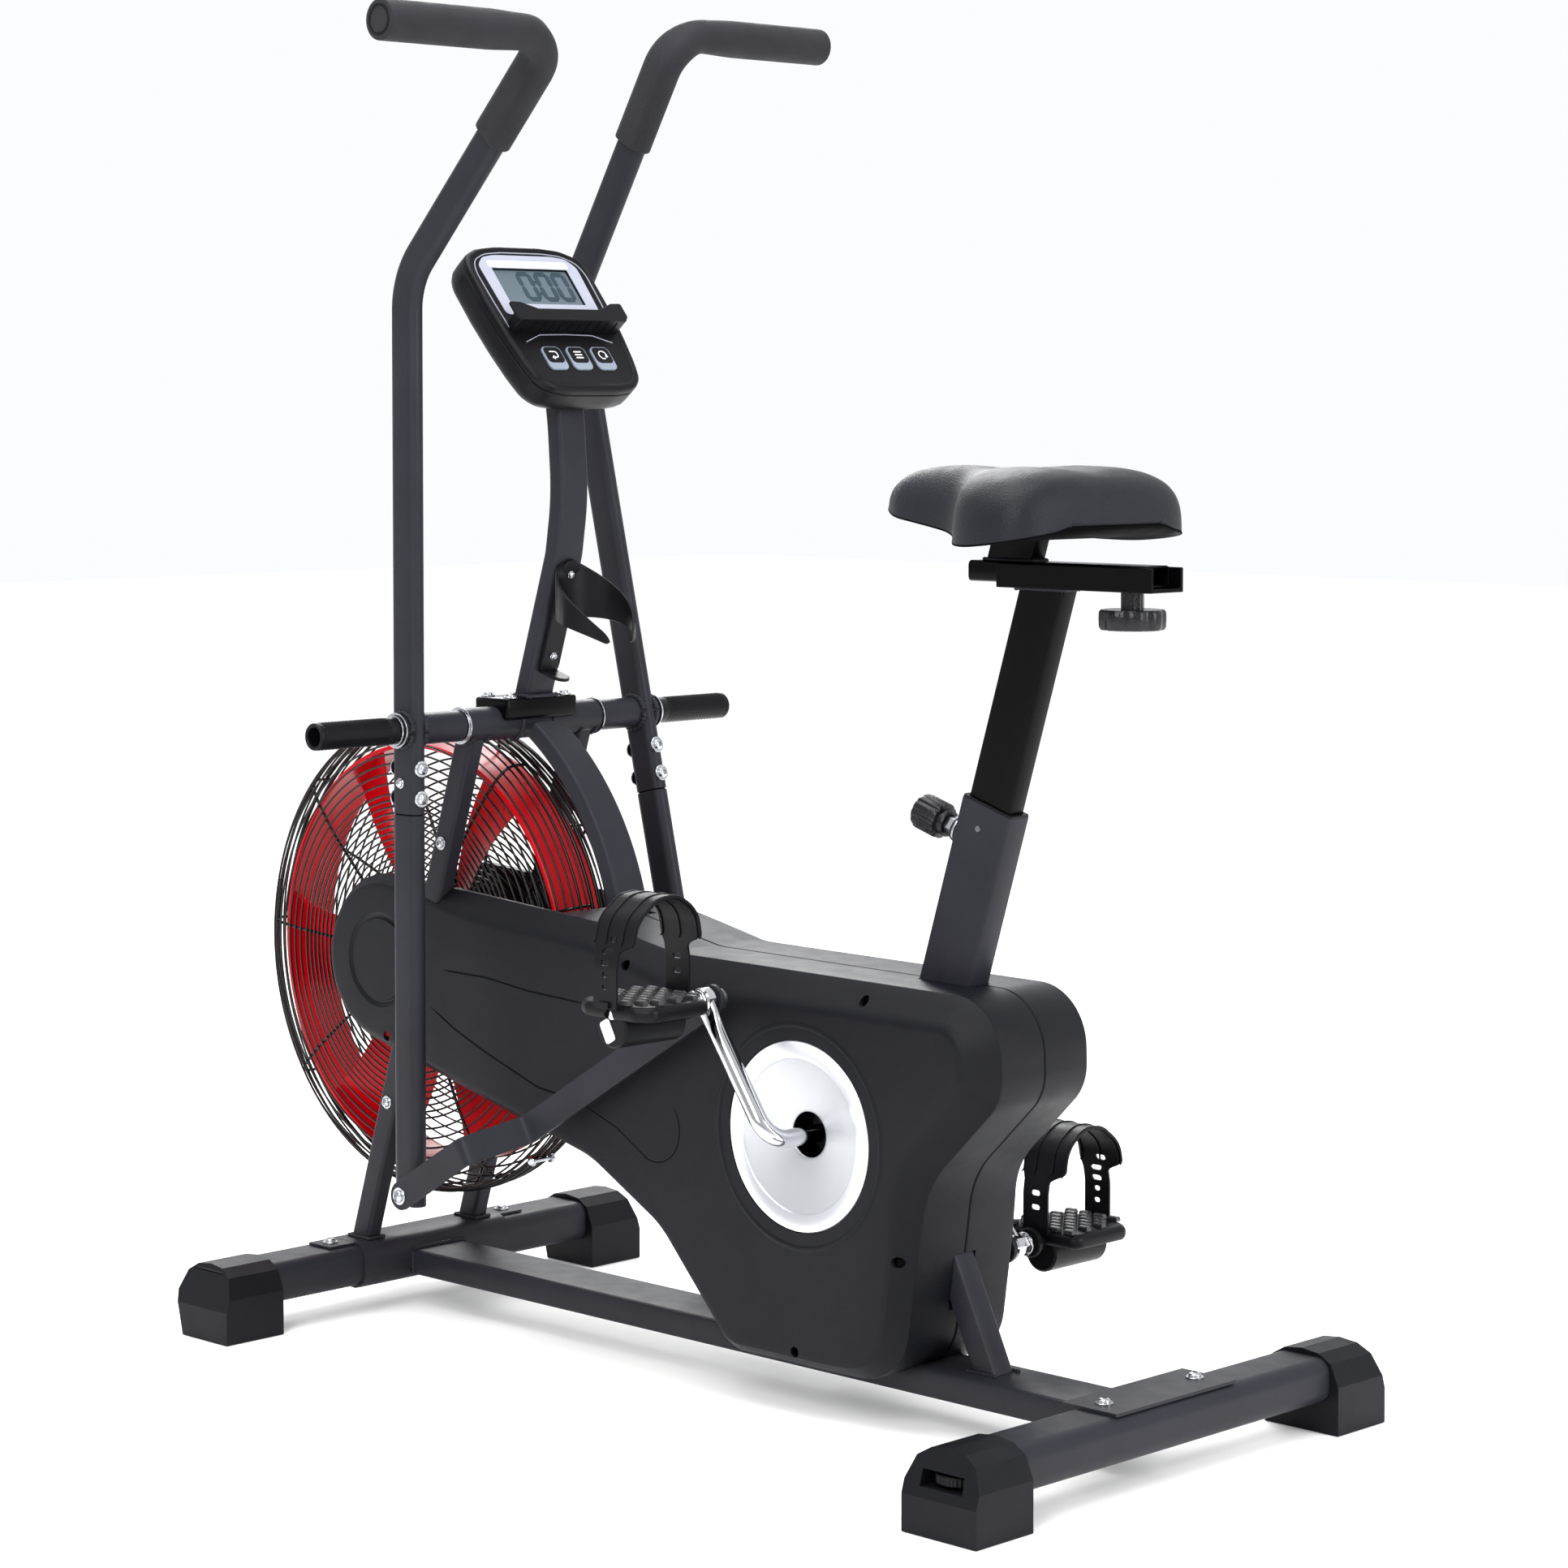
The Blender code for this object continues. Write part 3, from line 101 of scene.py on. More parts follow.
def area_light(name, at, target, size, power, colour=(1, 1, 1)):
    data = bpy.data.lights.new(name, "AREA")
    data.shape = "RECTANGLE"
    data.size, data.size_y = size
    data.energy, data.color = power, colour
    made = bpy.data.objects.new(name, data)
    made.location = at
    made.rotation_euler = (Vector(target) - Vector(at)).to_track_quat("-Z", "Y").to_euler()
    bpy.context.scene.collection.objects.link(made)


def put(node, **values):
    """Sets inputs of a shader node; an underscore in a name stands for a space."""
    for key, value in values.items():
        node.inputs[key.replace("_", " ")].default_value = value


def studio():
    world = bpy.data.worlds.new("studio")
    world.use_nodes = True
    background = world.node_tree.nodes["Background"]
    put(background, Color=(0.965, 0.975, 1.0, 1))
    # The room is a little darker on the near side, so that the flat dark faces keep their depth.
    nodes, links = world.node_tree.nodes, world.node_tree.links
    split = nodes.new("ShaderNodeSeparateXYZ")
    links.new(nodes.new("ShaderNodeTexCoord").outputs["Generated"], split.inputs["Vector"])
    level = nodes.new("ShaderNodeMapRange")
    level.interpolation_type = "SMOOTHSTEP"
    put(level, From_Min=-0.9, From_Max=0.1, To_Min=0.68, To_Max=1.0)
    links.new(split.outputs["Y"], level.inputs["Value"])
    links.new(level.outputs["Result"], background.inputs["Strength"])
    bpy.context.scene.world = world
    bpy.context.scene.view_settings.view_transform = "Standard"
    area_light("key", (1.6, -3.2, 2.6), (0, 0, 0.5), (1.6, 2.2), 105)
    area_light("side", (3.4, 0.6, 1.6), (0.1, 0, 0.5), (0.9, 2.4), 70)
    area_light("back", (-2.8, 2.4, 2.6), (0, 0, 0.6), (1.6, 1.6), 80)
    area_light("top", (-0.2, -0.4, 3.2), (0, 0, 0.3), (2.4, 2.0), 90)
    floor = bmesh.new()
    bmesh.ops.create_grid(floor, x_segments=1, y_segments=1, size=14)
    mesh = bpy.data.meshes.new("floor")
    floor.to_mesh(mesh)
    ground = bpy.data.objects.new("floor", mesh)
    ground.location = (0, 0, -0.0006)
    bpy.context.scene.collection.objects.link(ground)
    pale = finish("floor", (0.992, 0.986, 0.968), 0.8, grain=(30, 0.0), mottle=0.003)
    put(pale.node_tree.nodes["Principled BSDF"], Emission_Color=(0.97, 0.98, 1.0, 1), Emission_Strength=0.12)
    ground.data.materials.append(pale)


# ---------------------------------------------------------------- materials
SLOT_FINISH, FINISH_SLOT = {}, {}


def finish(name, colour, rough, slot="", metal=0.0, coat=0.0, grain=(900, 0.1), mottle=0.12, vary=0.1, sheen=0.0,
           cells=None, mirror=0.34):
    """A procedural finish: mottled colour, uneven roughness and a fine grain or cell pattern in its bump.

    The slot is the finish's own name unless another is given; the first finish of a slot is on its CAD nodes.
    """
    made = bpy.data.materials.new(name)
    made.use_nodes = True
    nodes, links = made.node_tree.nodes, made.node_tree.links
    shader = nodes["Principled BSDF"]
    put(shader, Metallic=metal, IOR=1.5, Specular_IOR_Level=0.5 if metal else mirror, Coat_Weight=coat,
        Coat_Roughness=0.08, Sheen_Weight=sheen)
    where = nodes.new("ShaderNodeTexCoord").outputs["Object"]

    def textured(kind, **settings):
        node = nodes.new(kind)
        put(node, **settings)
        links.new(where, node.inputs["Vector"])
        return node

    def bumped(height, strength, distance):
        node = nodes.new("ShaderNodeBump")
        put(node, Strength=strength, Distance=distance)
        links.new(height, node.inputs["Height"])
        return node

    cloud = textured("ShaderNodeTexNoise", Scale=14, Detail=6.0, Roughness=0.6)
    ramp = nodes.new("ShaderNodeValToRGB")
    for stop, sign, spot in zip(ramp.color_ramp.elements, (-1, 1), (0.32, 0.68)):
        stop.color = [c * (1 + sign * mottle) for c in colour] + [1]
        stop.position = spot
    links.new(cloud.outputs["Fac"], ramp.inputs["Fac"])
    links.new(ramp.outputs["Color"], shader.inputs["Base Color"])

    streak = textured("ShaderNodeTexNoise", Scale=45, Detail=4.0)
    spread = nodes.new("ShaderNodeMapRange")
    put(spread, From_Min=0.3, From_Max=0.7, To_Min=rough * (1 - vary), To_Max=rough * (1 + vary))
    links.new(streak.outputs["Fac"], spread.inputs["Value"])
    links.new(spread.outputs["Result"], shader.inputs["Roughness"])

    scale, strength = grain
    if strength:
        fine = textured("ShaderNodeTexNoise", Scale=scale, Detail=3.0, Roughness=0.55)
        bump = bumped(fine.outputs["Fac"], strength, 0.0006)
        if cells:
            cell = textured("ShaderNodeTexVoronoi", Scale=cells[0])
            second = bumped(cell.outputs["Distance"], cells[1], 0.0008)
            links.new(bump.outputs["Normal"], second.inputs["Normal"])
            bump = second
        links.new(bump.outputs["Normal"], shader.inputs["Normal"])
    FINISH_SLOT[made.name] = slot or name
    SLOT_FINISH.setdefault(slot or name, made)
    return made


COAT = finish("powder_coat", (0.017, 0.017, 0.0228), 0.42, grain=(1100, 0.16), mirror=0.12)
finish("gloss_coat", (0.0012, 0.0012, 0.0015), 0.24, coat=0.02, grain=(600, 0.06), mirror=0.07)
HOUSING = finish("housing_plastic", (0.005, 0.0052, 0.008), 0.38, grain=(1600, 0.42), mottle=0.08, mirror=0.12)
BLACK = finish("black_plastic", (0.004, 0.004, 0.005), 0.38, grain=(1300, 0.22), mirror=0.12)
FOOT = finish("foot_plastic", (0.0052, 0.0054, 0.0074), 0.4, grain=(1500, 0.3), mirror=0.1)
RED = finish("fan_red", (0.5, 0.0012, 0.006), 0.3, coat=0.05, grain=(160, 0.05), mottle=0.05, mirror=0.12)
WIRE = finish("guard_wire", (0.003, 0.003, 0.0035), 0.22, coat=0.08, grain=(900, 0.05), mirror=0.2)
SILVER = finish("silver_plastic", (0.53, 0.54, 0.57), 0.38, metal=0.75, grain=(2400, 0.08), mottle=0.02, vary=0.03)
SILVER_RIM = finish("silver_rim", (0.66, 0.67, 0.705), 0.28, "silver_plastic", metal=0.75, grain=(2400, 0.02),
                    mottle=0.01, vary=0.02)
CHROME = finish("chrome", (0.56, 0.56, 0.58), 0.1, metal=1.0, grain=(260, 0.02), mottle=0.04, vary=0.3)
ZINC = finish("zinc", (0.48, 0.49, 0.52), 0.24, "chrome", metal=1.0, grain=(800, 0.08), mottle=0.1, vary=0.3)
STEEL = finish("steel", (0.17, 0.17, 0.185), 0.38, metal=1.0, grain=(700, 0.15), mottle=0.2, vary=0.25)
FOAM = finish("foam", (0.0155, 0.0155, 0.02), 0.66, grain=(1800, 0.75), cells=(1500, 0.35), sheen=0.03, mirror=0.14)
COVER = finish("saddle_cover", (0.0072, 0.0077, 0.0118), 0.48, grain=(700, 0.2), cells=(620, 0.35), sheen=0.02,
               mirror=0.16)
TREAD = finish("pedal_tread", (0.0105, 0.0105, 0.0115), 0.28, "black_plastic", grain=(1900, 0.6), mottle=0.35,
               vary=0.3, mirror=0.8)
KNOB = finish("knob_plastic", (0.006, 0.006, 0.0075), 0.3, "black_plastic", coat=0.12, grain=(420, 0.55),
              cells=(380, 0.3), mottle=0.1, mirror=0.2)
# A darker, unreflecting copy of black plastic: it paints shade on the parts that sit in recesses, gaps and under the
# saddle.
SHADE_BLACK = finish("painted_shade_black", (0.002, 0.002, 0.0025), 0.8, "black_plastic", grain=(900, 0.1), mirror=0.02)
LCD = finish("display_window", (0.088, 0.114, 0.132), 0.16, "display_glass", coat=0.12, grain=(40, 0.01),
             mottle=0.06, mirror=0.2)
DIGITS = finish("display_segments", (0.026, 0.044, 0.058), 0.4, "black_plastic", grain=(900, 0.02), mirror=0.15)
WHITE = finish("white_print", (0.8, 0.8, 0.81), 0.45, "silver_plastic", grain=(900, 0.05), mottle=0.03)
# Silver print for the bezel; it also paints the highlight line round the console's face.
SILVER_PRINT_AND_HIGHLIGHT = finish("silver_print_and_painted_highlight", (0.33, 0.34, 0.41), 0.34, "silver_plastic", metal=0.1, grain=(1600, 0.08),
               mottle=0.04, mirror=0.25)
PLATE = finish("button_plate", (0.185, 0.215, 0.265), 0.34, "silver_plastic", grain=(1600, 0.08), mottle=0.04,
               mirror=0.25)

NODE_SLOT = {row["node"]: row["material_slot"] for row in frame["record"]["subparts"]}
NODE_BODY = {node: body for body, group in frame["record"]["behaviour"]["bodies"].items() for node in group}
for node_name, node in frame["nodes"].items():
    node.data.materials.clear()
    node.data.materials.append(SLOT_FINISH[NODE_SLOT[node_name]])


# ---------------------------------------------------------------- outlines
def arc(centre, radius, start, end, steps):
    """Points on a circle, from start to end degrees, both included."""
    angles = [math.radians(start + (end - start) * i / steps) for i in range(steps + 1)]
    return [(centre[0] + radius * math.cos(a), centre[1] + radius * math.sin(a)) for a in angles]


def filleted(points, radii, steps=8, closed=False):
    """The polyline with each inner corner replaced by an arc of its radius."""
    points = [Vector(p) for p in points]
    count = len(points)
    made = []
    for i, corner in enumerate(points):
        radius = radii if isinstance(radii, (int, float)) else radii[i]
        if radius == 0 or (not closed and i in (0, count - 1)):
            made.append(corner)
            continue
        back = (points[i - 1] - corner).normalized()
        ahead = (points[(i + 1) % count] - corner).normalized()
        half = back.angle(ahead) / 2
        reach = radius / math.tan(half)
        centre = corner + (back + ahead).normalized() * (radius / math.sin(half))
        first, last = corner + back * reach - centre, corner + ahead * reach - centre
        sweep = first.angle(last)
        for j in range(steps + 1):
            t = j / steps
            made.append(
                centre + (math.sin((1 - t) * sweep) * first + math.sin(t * sweep) * last) / math.sin(sweep)
            )
    return [tuple(p) for p in made]


def dense(points, step):
    """The polyline with points added so that no stretch is longer than the step."""
    made = [Vector(points[0])]
    for target in map(Vector, points[1:]):
        start = made[-1]
        count = max(1, math.ceil((target - start).length / step))
        made += [start.lerp(target, (i + 1) / count) for i in range(count)]
    return made


def bar(long, wide, radius=0.003, steps=5):
    u, v = long / 2, wide / 2
    return filleted([(-u, -v), (u, -v), (u, v), (-u, v)], radius, steps, closed=True)


def stadium(long, wide, steps=12):
    reach, radius = (long - wide) / 2, wide / 2
    return arc((reach, 0), radius, -90, 90, steps) + arc((-reach, 0), radius, 90, 270, steps)


def circle(radius, steps):
    """Points round a circle, the first on the first axis."""
    turns = (2 * math.pi * i / steps for i in range(steps))
    return [(radius * math.cos(a), radius * math.sin(a)) for a in turns]


def smooth(t):
    t = min(max(t, 0.0), 1.0)
    return t * t * (3 - 2 * t)


# ---------------------------------------------------------------- mesh makers
ALONG_Y = Matrix.Rotation(math.pi / 2, 4, "X")


def place(at=(0, 0, 0), turn=Matrix.Identity(4)):
    return Matrix.Translation(at) @ turn


def turn_y(angle):
    return Matrix.Rotation(angle, 4, "Y")


def facing(direction):
    """Turns +Z to a direction."""
    return Vector(direction).to_track_quat("Z", "Y").to_matrix().to_4x4()


def skin(shape, rings, closed=False, caps=True, matrix=None):
    """Joins rings of points into a skin in a bmesh."""
    matrix = matrix or Matrix.Identity(4)
    rows = [[shape.verts.new(matrix @ Vector(p)) for p in ring] for ring in rings]
    pairs = list(zip(rows, rows[1:] + rows[:1])) if closed else list(zip(rows, rows[1:]))
    count = len(rows[0])
    for low, high in pairs:
        for i in range(count):
            j = (i + 1) % count
            shape.faces.new((low[i], low[j], high[j], high[i]))
    if caps and not closed:
        shape.faces.new(rows[0][::-1])
        shape.faces.new(rows[-1])
    return shape


def swept(path, across, sections, closed=False):
    """Rings for one section at each point of the path, its first axis carried along without twist."""
    path = [Vector(p) for p in path]
    if isinstance(sections[0][0], (int, float)):
        sections = [sections] * len(path)
    across = Vector(across)
    rings = []
    last = len(path) - 1
    for i, (point, section) in enumerate(zip(path, sections)):
        before = path[i - 1 if closed else max(i - 1, 0)]
        after = path[(i + 1) % len(path) if closed else min(i + 1, last)]
        ahead = (after - before).normalized()
        across = (across - ahead * across.dot(ahead)).normalized()
        up = ahead.cross(across)
        rings.append([point + across * u + up * v for u, v in section])
    return rings


def turned(shape, profile, steps=48, matrix=None):
    """Adds a lathe shape about Z; a point on the axis closes it."""
    matrix = matrix or Matrix.Identity(4)
    rows = []
    for radius, height in profile:
        if radius == 0:
            rows.append([shape.verts.new(matrix @ Vector((0, 0, height)))] * steps)
        else:
            rows.append([
                shape.verts.new(matrix @ Vector((radius * math.cos(a), radius * math.sin(a), height)))
                for a in (2 * math.pi * i / steps for i in range(steps))
            ])
    closed = profile[0][0] != 0 or profile[-1][0] != 0
    for low, high in zip(rows, rows[1:] + (rows[:1] if closed else [])):
        for i in range(steps):
            j = (i + 1) % steps
            corners = list(dict.fromkeys((low[i], low[j], high[j], high[i])))
            if len(corners) > 2:
                shape.faces.new(corners)
    return shape


def slab(shape, outlines, low, high, matrix=None):
    """Adds a flat plate: its first outline, less the holes that follow, from one height to another."""
    matrix = matrix or Matrix.Identity(4)
    loops = []
    for outline in outlines:
        loops.append([[shape.verts.new(matrix @ Vector((x, y, h))) for x, y in outline] for h in (low, high)])
    for level in (0, 1):
        edges = []
        for pair in loops:
            ring = pair[level]
            edges += [shape.edges.new((a, b)) for a, b in zip(ring, ring[1:] + ring[:1])]
        if len(loops) == 1:
            shape.faces.new(loops[0][level])
        else:
            bmesh.ops.triangle_fill(shape, use_beauty=True, use_dissolve=True, edges=edges)
    for bottom, top in loops:
        for i in range(len(bottom)):
            j = (i + 1) % len(bottom)
            shape.faces.new((bottom[i], bottom[j], top[j], top[i]))
    return shape


def solid(rings, **how):
    return skin(bmesh.new(), rings, **how)


def lathe(profile, steps=48, matrix=None):
    return turned(bmesh.new(), profile, steps, matrix)


def plate(outlines, low, high, matrix=None):
    return slab(bmesh.new(), outlines, low, high, matrix)


def box_shape(size, matrix):
    shape = bmesh.new()
    bmesh.ops.create_cube(shape, size=1.0, matrix=matrix @ Matrix.Diagonal((*size, 1)))
    return shape


def disc_shape(radius, low, high, matrix, steps=64):
    return lathe([(radius, high), (radius, low), (0, low), (0, high)], steps, matrix)


def centred(at, side=1, y=0.0):
    """A place on the left or right of an axle, its +Z pointing outwards."""
    return place((at.x, side * y, at.z), facing((0, side, 0)))


def new_mesh(name, shape, angle=35):
    bmesh.ops.recalc_face_normals(shape, faces=shape.faces[:])
    mesh = bpy.data.meshes.new(name)
    shape.to_mesh(mesh)
    shape.free()
    mesh.shade_smooth()
    mesh.set_sharp_from_angle(angle=math.radians(angle))
    return mesh


def piece(name, shape, material, body, replaces=(), bevel=0.0, segments=2, angle=35):
    """A finished piece that rides on a body and may stand for CAD nodes."""
    mesh = shape if isinstance(shape, bpy.types.Mesh) else new_mesh(name, shape, angle)
    made = bpy.data.objects.new(name, mesh)
    bpy.context.scene.collection.objects.link(made)
    mesh.materials.clear()
    mesh.materials.append(material)
    if bevel:
        edge = made.modifiers.new("edges", "BEVEL")
        edge.width, edge.segments, edge.harden_normals = bevel, segments, True
        edge.limit_method, edge.angle_limit = "ANGLE", math.radians(angle)
        edge.use_clamp_overlap = True
    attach(made, body)
    if replaces:
        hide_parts(*([replaces] if isinstance(replaces, str) else replaces))
    return made


def carved(shape, *cutters, angle=35):
    """The bmesh's shape less the cutters, as a mesh."""
    def holder(label, source):
        made = bpy.data.objects.new(label, new_mesh(label, source))
        bpy.context.scene.collection.objects.link(made)
        return made

    base = holder("carve_base", shape)
    tools = [holder("carve_tool", cutter) for cutter in cutters]
    for tool in tools:
        step = base.modifiers.new("carve", "BOOLEAN")
        step.operation, step.solver, step.object = "DIFFERENCE", "EXACT", tool
    graph = bpy.context.evaluated_depsgraph_get()
    mesh = bpy.data.meshes.new_from_object(base.evaluated_get(graph))
    for made in [base, *tools]:
        bpy.data.objects.remove(made)
    mesh.materials.clear()
    mesh.shade_smooth()
    mesh.set_sharp_from_angle(angle=math.radians(angle))
    return mesh


def refined(node, bevel, material=None, angle=35, segments=3):
    """A CAD node's own shape with its edges rounded."""
    shape = bmesh.new()
    shape.from_mesh(frame["nodes"][node].data)
    bmesh.ops.remove_doubles(shape, verts=shape.verts, dist=1e-6)
    bmesh.ops.dissolve_limit(shape, angle_limit=math.radians(0.8), verts=shape.verts, edges=shape.edges)
    return piece(node + "_finished", shape, material or SLOT_FINISH[NODE_SLOT[node]], NODE_BODY[node], node,
                 bevel, segments, angle)


def bolt(shape, at, normal, radius, washer, dome=0.5):
    """Adds a button-head socket bolt with its washer."""
    matrix = place(at, facing(normal))
    rim, hole = radius * washer, radius * 0.42
    profile = [(rim, 0), (rim, 0.0012), (rim - 0.0004, 0.0016), (radius, 0.0016), (radius, 0.0026)]
    profile += [(radius * math.cos(a), 0.0026 + radius * dome * math.sin(a))
                for a in (math.radians(15 * i) for i in range(1, 5))]
    top = profile[-1][1]
    profile += [(hole, top + 0.0001), (hole, top - radius * 0.45), (0, top - radius * 0.45), (0, 0)]
    turned(shape, profile, 24, matrix)


def bolts(name, body, spots, radius, washer):
    shape = bmesh.new()
    for at, normal in spots:
        bolt(shape, at, normal, radius, washer)
    return piece(name, shape, ZINC, body, angle=30)


def weld(name, body, path, radius=0.0024, seed=1):
    """A rippled weld bead along a line, painted like the frame."""
    pick = random.Random(seed)
    points = dense(path, 0.0016)
    sections = []
    for i in range(len(points)):
        size = radius * (1 + 0.22 * math.sin(i * 2.1) + pick.uniform(-0.1, 0.1))
        sections.append([(size * math.cos(a), size * math.sin(a)) for a in (math.pi * j / 4 for j in range(8))])
    shape = bmesh.new()
    ahead = points[1] - points[0]
    skin(shape, swept(points, ahead.orthogonal(), sections))
    return piece(name, shape, COAT, body, angle=60)


# ---------------------------------------------------------------- levers, grips and pegs
FOAM_START = 0.566  # height in the lever's own frame where the foam begins


def lever_frame(side):
    """From a lever's own frame, upright with the axle at its origin, to its place at rest."""
    eye = EYES[side]
    lean = math.atan2(eye.x - PIVOT.x, PIVOT.z - eye.z)
    return place((PIVOT.x, 0, PIVOT.z), Matrix.Rotation(-lean, 4, "Y"))


def lever_path(side, start):
    """The middle line of the upper lever from a height in its own frame out to the grip's end."""
    y = side * LEVER_Y
    line = [(0, y, start), (0, y, 0.4377), (GRIP_X, y, GRIP_Z), (GRIP_X, side * (GRIP_END - 0.004), GRIP_Z)]
    return dense(filleted(line, [0, 0.075, 0.04, 0], 16), 0.02)


def lever_section(point, grow=0.0):
    """Flat-oval up the lever, easing to round along the grip."""
    t = smooth((abs(point.y) - LEVER_Y - 0.002) / 0.034)
    long = LEVER_LONG + (0.0262 - LEVER_LONG) * t + 2 * grow
    thin = LEVER_THIN + (0.026 - LEVER_THIN) * t + 2 * grow
    return stadium(long, thin, 14)


def open_tube(outer, inner, half, chamfer=0.0008):
    """A turned tube's profile, centred, with broken edges."""
    c = chamfer
    return [(outer - c, half), (outer, half - c), (outer, c - half), (outer - c, -half),
            (inner + c, -half), (inner, c - half), (inner, half - c), (inner + c, half)]


def levers():
    for name, side in SIDES:
        body, matrix = name + "_lever", lever_frame(side)
        y = side * LEVER_Y
        path = lever_path(side, -0.082)
        tube = solid(swept(path, (1, 0, 0), [lever_section(p) for p in path]), matrix=matrix)
        bore = disc_shape(0.015, -0.2, 0.2, matrix @ ALONG_Y, 40)
        piece(body + "_upper_tube", carved(tube, bore), COAT, body, body + "_upper", bevel=0.0006)
        sleeve = lathe(open_tube(0.0155, 0.0116, 0.0395, 0.001), 48, matrix @ place((0, side * 0.131, 0), ALONG_Y))
        piece(body + "_bearing", sleeve, COAT, body)
        # The weld between sleeve and tube is a broad, soft collar.
        for edge in (-1, 1):
            ring = [Vector((0.0166 * u, y + edge * 0.0088, 0.0166 * v)) for u, v in circle(1, 40)]
            weld(f"{body}_weld_{edge + 2}", body, [matrix @ p for p in ring], 0.003, side + edge + 5)

        lower = plate([stadium(LEVER_LONG, LEVER_THIN, 14)], -LEVER_ARM - 0.011, -0.0832, matrix @ place((0, y, 0)))
        hole = disc_shape(0.0046, -0.05, 0.05, matrix @ place((0, y, -LEVER_ARM), ALONG_Y), 24)
        piece(body + "_lower_tube", carved(lower, hole), COAT, body, body + "_lower", bevel=0.0012, segments=3)
        # The insert fills the gap between the upper and lower tube in the darker black that paints the shade of the
        # joint.
        inner = plate([stadium(LEVER_LONG - 0.003, LEVER_THIN - 0.003, 14)], -0.0836, -0.0818,
                      matrix @ place((0, y, 0)))
        piece(body + "_insert", inner, SHADE_BLACK, body)

        foam = [p for p in dense(lever_path(side, 0.3), 0.008) if p.z > FOAM_START]
        foam.insert(1, foam[0].lerp(foam[1], 0.2))
        tip = Vector((GRIP_X, side * (GRIP_END - 0.0006), GRIP_Z))
        foam[-1:] = [tip - Vector((0, side * 0.001, 0)), tip]
        grows = [0.0042 + 0.0017 * smooth((abs(p.y) - 0.19) / 0.05) for p in foam]
        grows[0], grows[-1] = 0.003, 0.005
        sections = [lever_section(p, grow) for p, grow in zip(foam, grows)]
        grip = solid(swept(foam, (1, 0, 0), sections), matrix=matrix)
        made = piece(name + "_grip_foam", grip, FOAM, body, name + "_grip", bevel=0.0008)
        cap = lathe(mm((15, 0), (15, 0.9), (14.3, 1.4), (11.8, 1.4), (11.2, 0.8), (0, 0.8), (0, 0)), 40,
                    matrix @ place((GRIP_X, side * (GRIP_END - 0.0016), GRIP_Z), facing((0, side, 0))))
        piece(name + "_grip_cap", cap, BLACK, body)

        along = (matrix.to_3x3() @ Vector((1, 0, 0))).normalized()
        spots = [(matrix @ Vector((end * LEVER_LONG / 2, y, z)), end * along)
                 for end in (1, -1) for z in (-0.0375, -0.0668)]
        bolts(body + "_bolts", body, spots, 0.0056, 1.45)
        flat_spot = matrix @ Vector((-0.002, y + side * LEVER_THIN / 2, -0.052))
        bolts(body + "_side_bolt", body, [(flat_spot, (0, side, 0))], 0.004, 1.3)


def knurled(radius, start, end, matrix, around=44, pitch=0.0021, rise=0.00045):
    """A tube's outer surface pressed with a diamond pattern."""
    count = int((end - start) / pitch)
    rings = []
    for i in range(count + 1):
        height = start + (end - start) * i / count
        ring = []
        for j in range(around):
            angle = 2 * math.pi * (j + 0.5 * (i % 2)) / around
            size = radius + (rise if (i + j) % 2 else -rise) * (0 < i < count)
            ring.append((size * math.cos(angle), size * math.sin(angle), height))
        rings.append(ring)
    return solid(rings, matrix=matrix, caps=False)


def axle_parts():
    middle = place(PIVOT, ALONG_Y)
    piece("cross_tube", lathe(open_tube(0.017, 0.0113, 0.0885, 0.001), 56, middle), COAT, "frame",
          "pivot_cross_tube")
    shaft = lathe(mm((10, 175), (11, 174), (11, -174), (10, -175), (0, -175), (0, 175)), 40, middle)
    piece("axle_shaft", shaft, STEEL, "frame", "pivot_axle")
    for name, side in SIDES:
        at, outer = centred(PIVOT, side), centred(PIVOT, side, 0.2245)
        peg = lathe(mm((12.4, 49), (13.2, 47.8), (13.2, 44.6), (12.8, 44.2), (12.8, -38), (13.2, -38.6),
                       (13.2, -48.2), (12.4, -49), (11.2, -49), (9.5, -48), (9.5, 48), (10.5, 49)), 44, outer)
        piece(name + "_peg", peg, BLACK, "frame", name + "_foot_peg", angle=40)
        piece(name + "_peg_knurl", knurled(0.0131, -0.038, 0.0442, outer), BLACK, "frame", angle=10)
        # A plug deep in the peg's bore, in the darker black that paints the shade inside the bore.
        plug = lathe(mm((9.2, 30), (9.2, 26), (0, 26), (0, 30)), 32, outer)
        piece(name + "_peg_plug", plug, SHADE_BLACK, "frame")
        washers = bmesh.new()
        for low, high, size in mm((88.8, 89.9, 18.5), (90.1, 91.2, 16.5), (170.8, 171.9, 17.5), (173.8, 175.2, 15)):
            turned(washers, [(size, low), (size, high), (0.0113, high), (0.0113, low)], 40, at)
        piece(name + "_axle_washers", washers, ZINC, "frame", bevel=0.0002)
        seal = lathe(mm((14.8, 172.1), (15.4, 172.9), (14.8, 173.6), (11.3, 173.6), (11.3, 172.1)), 40, at)
        piece(name + "_axle_seal", seal, BLACK, "frame")


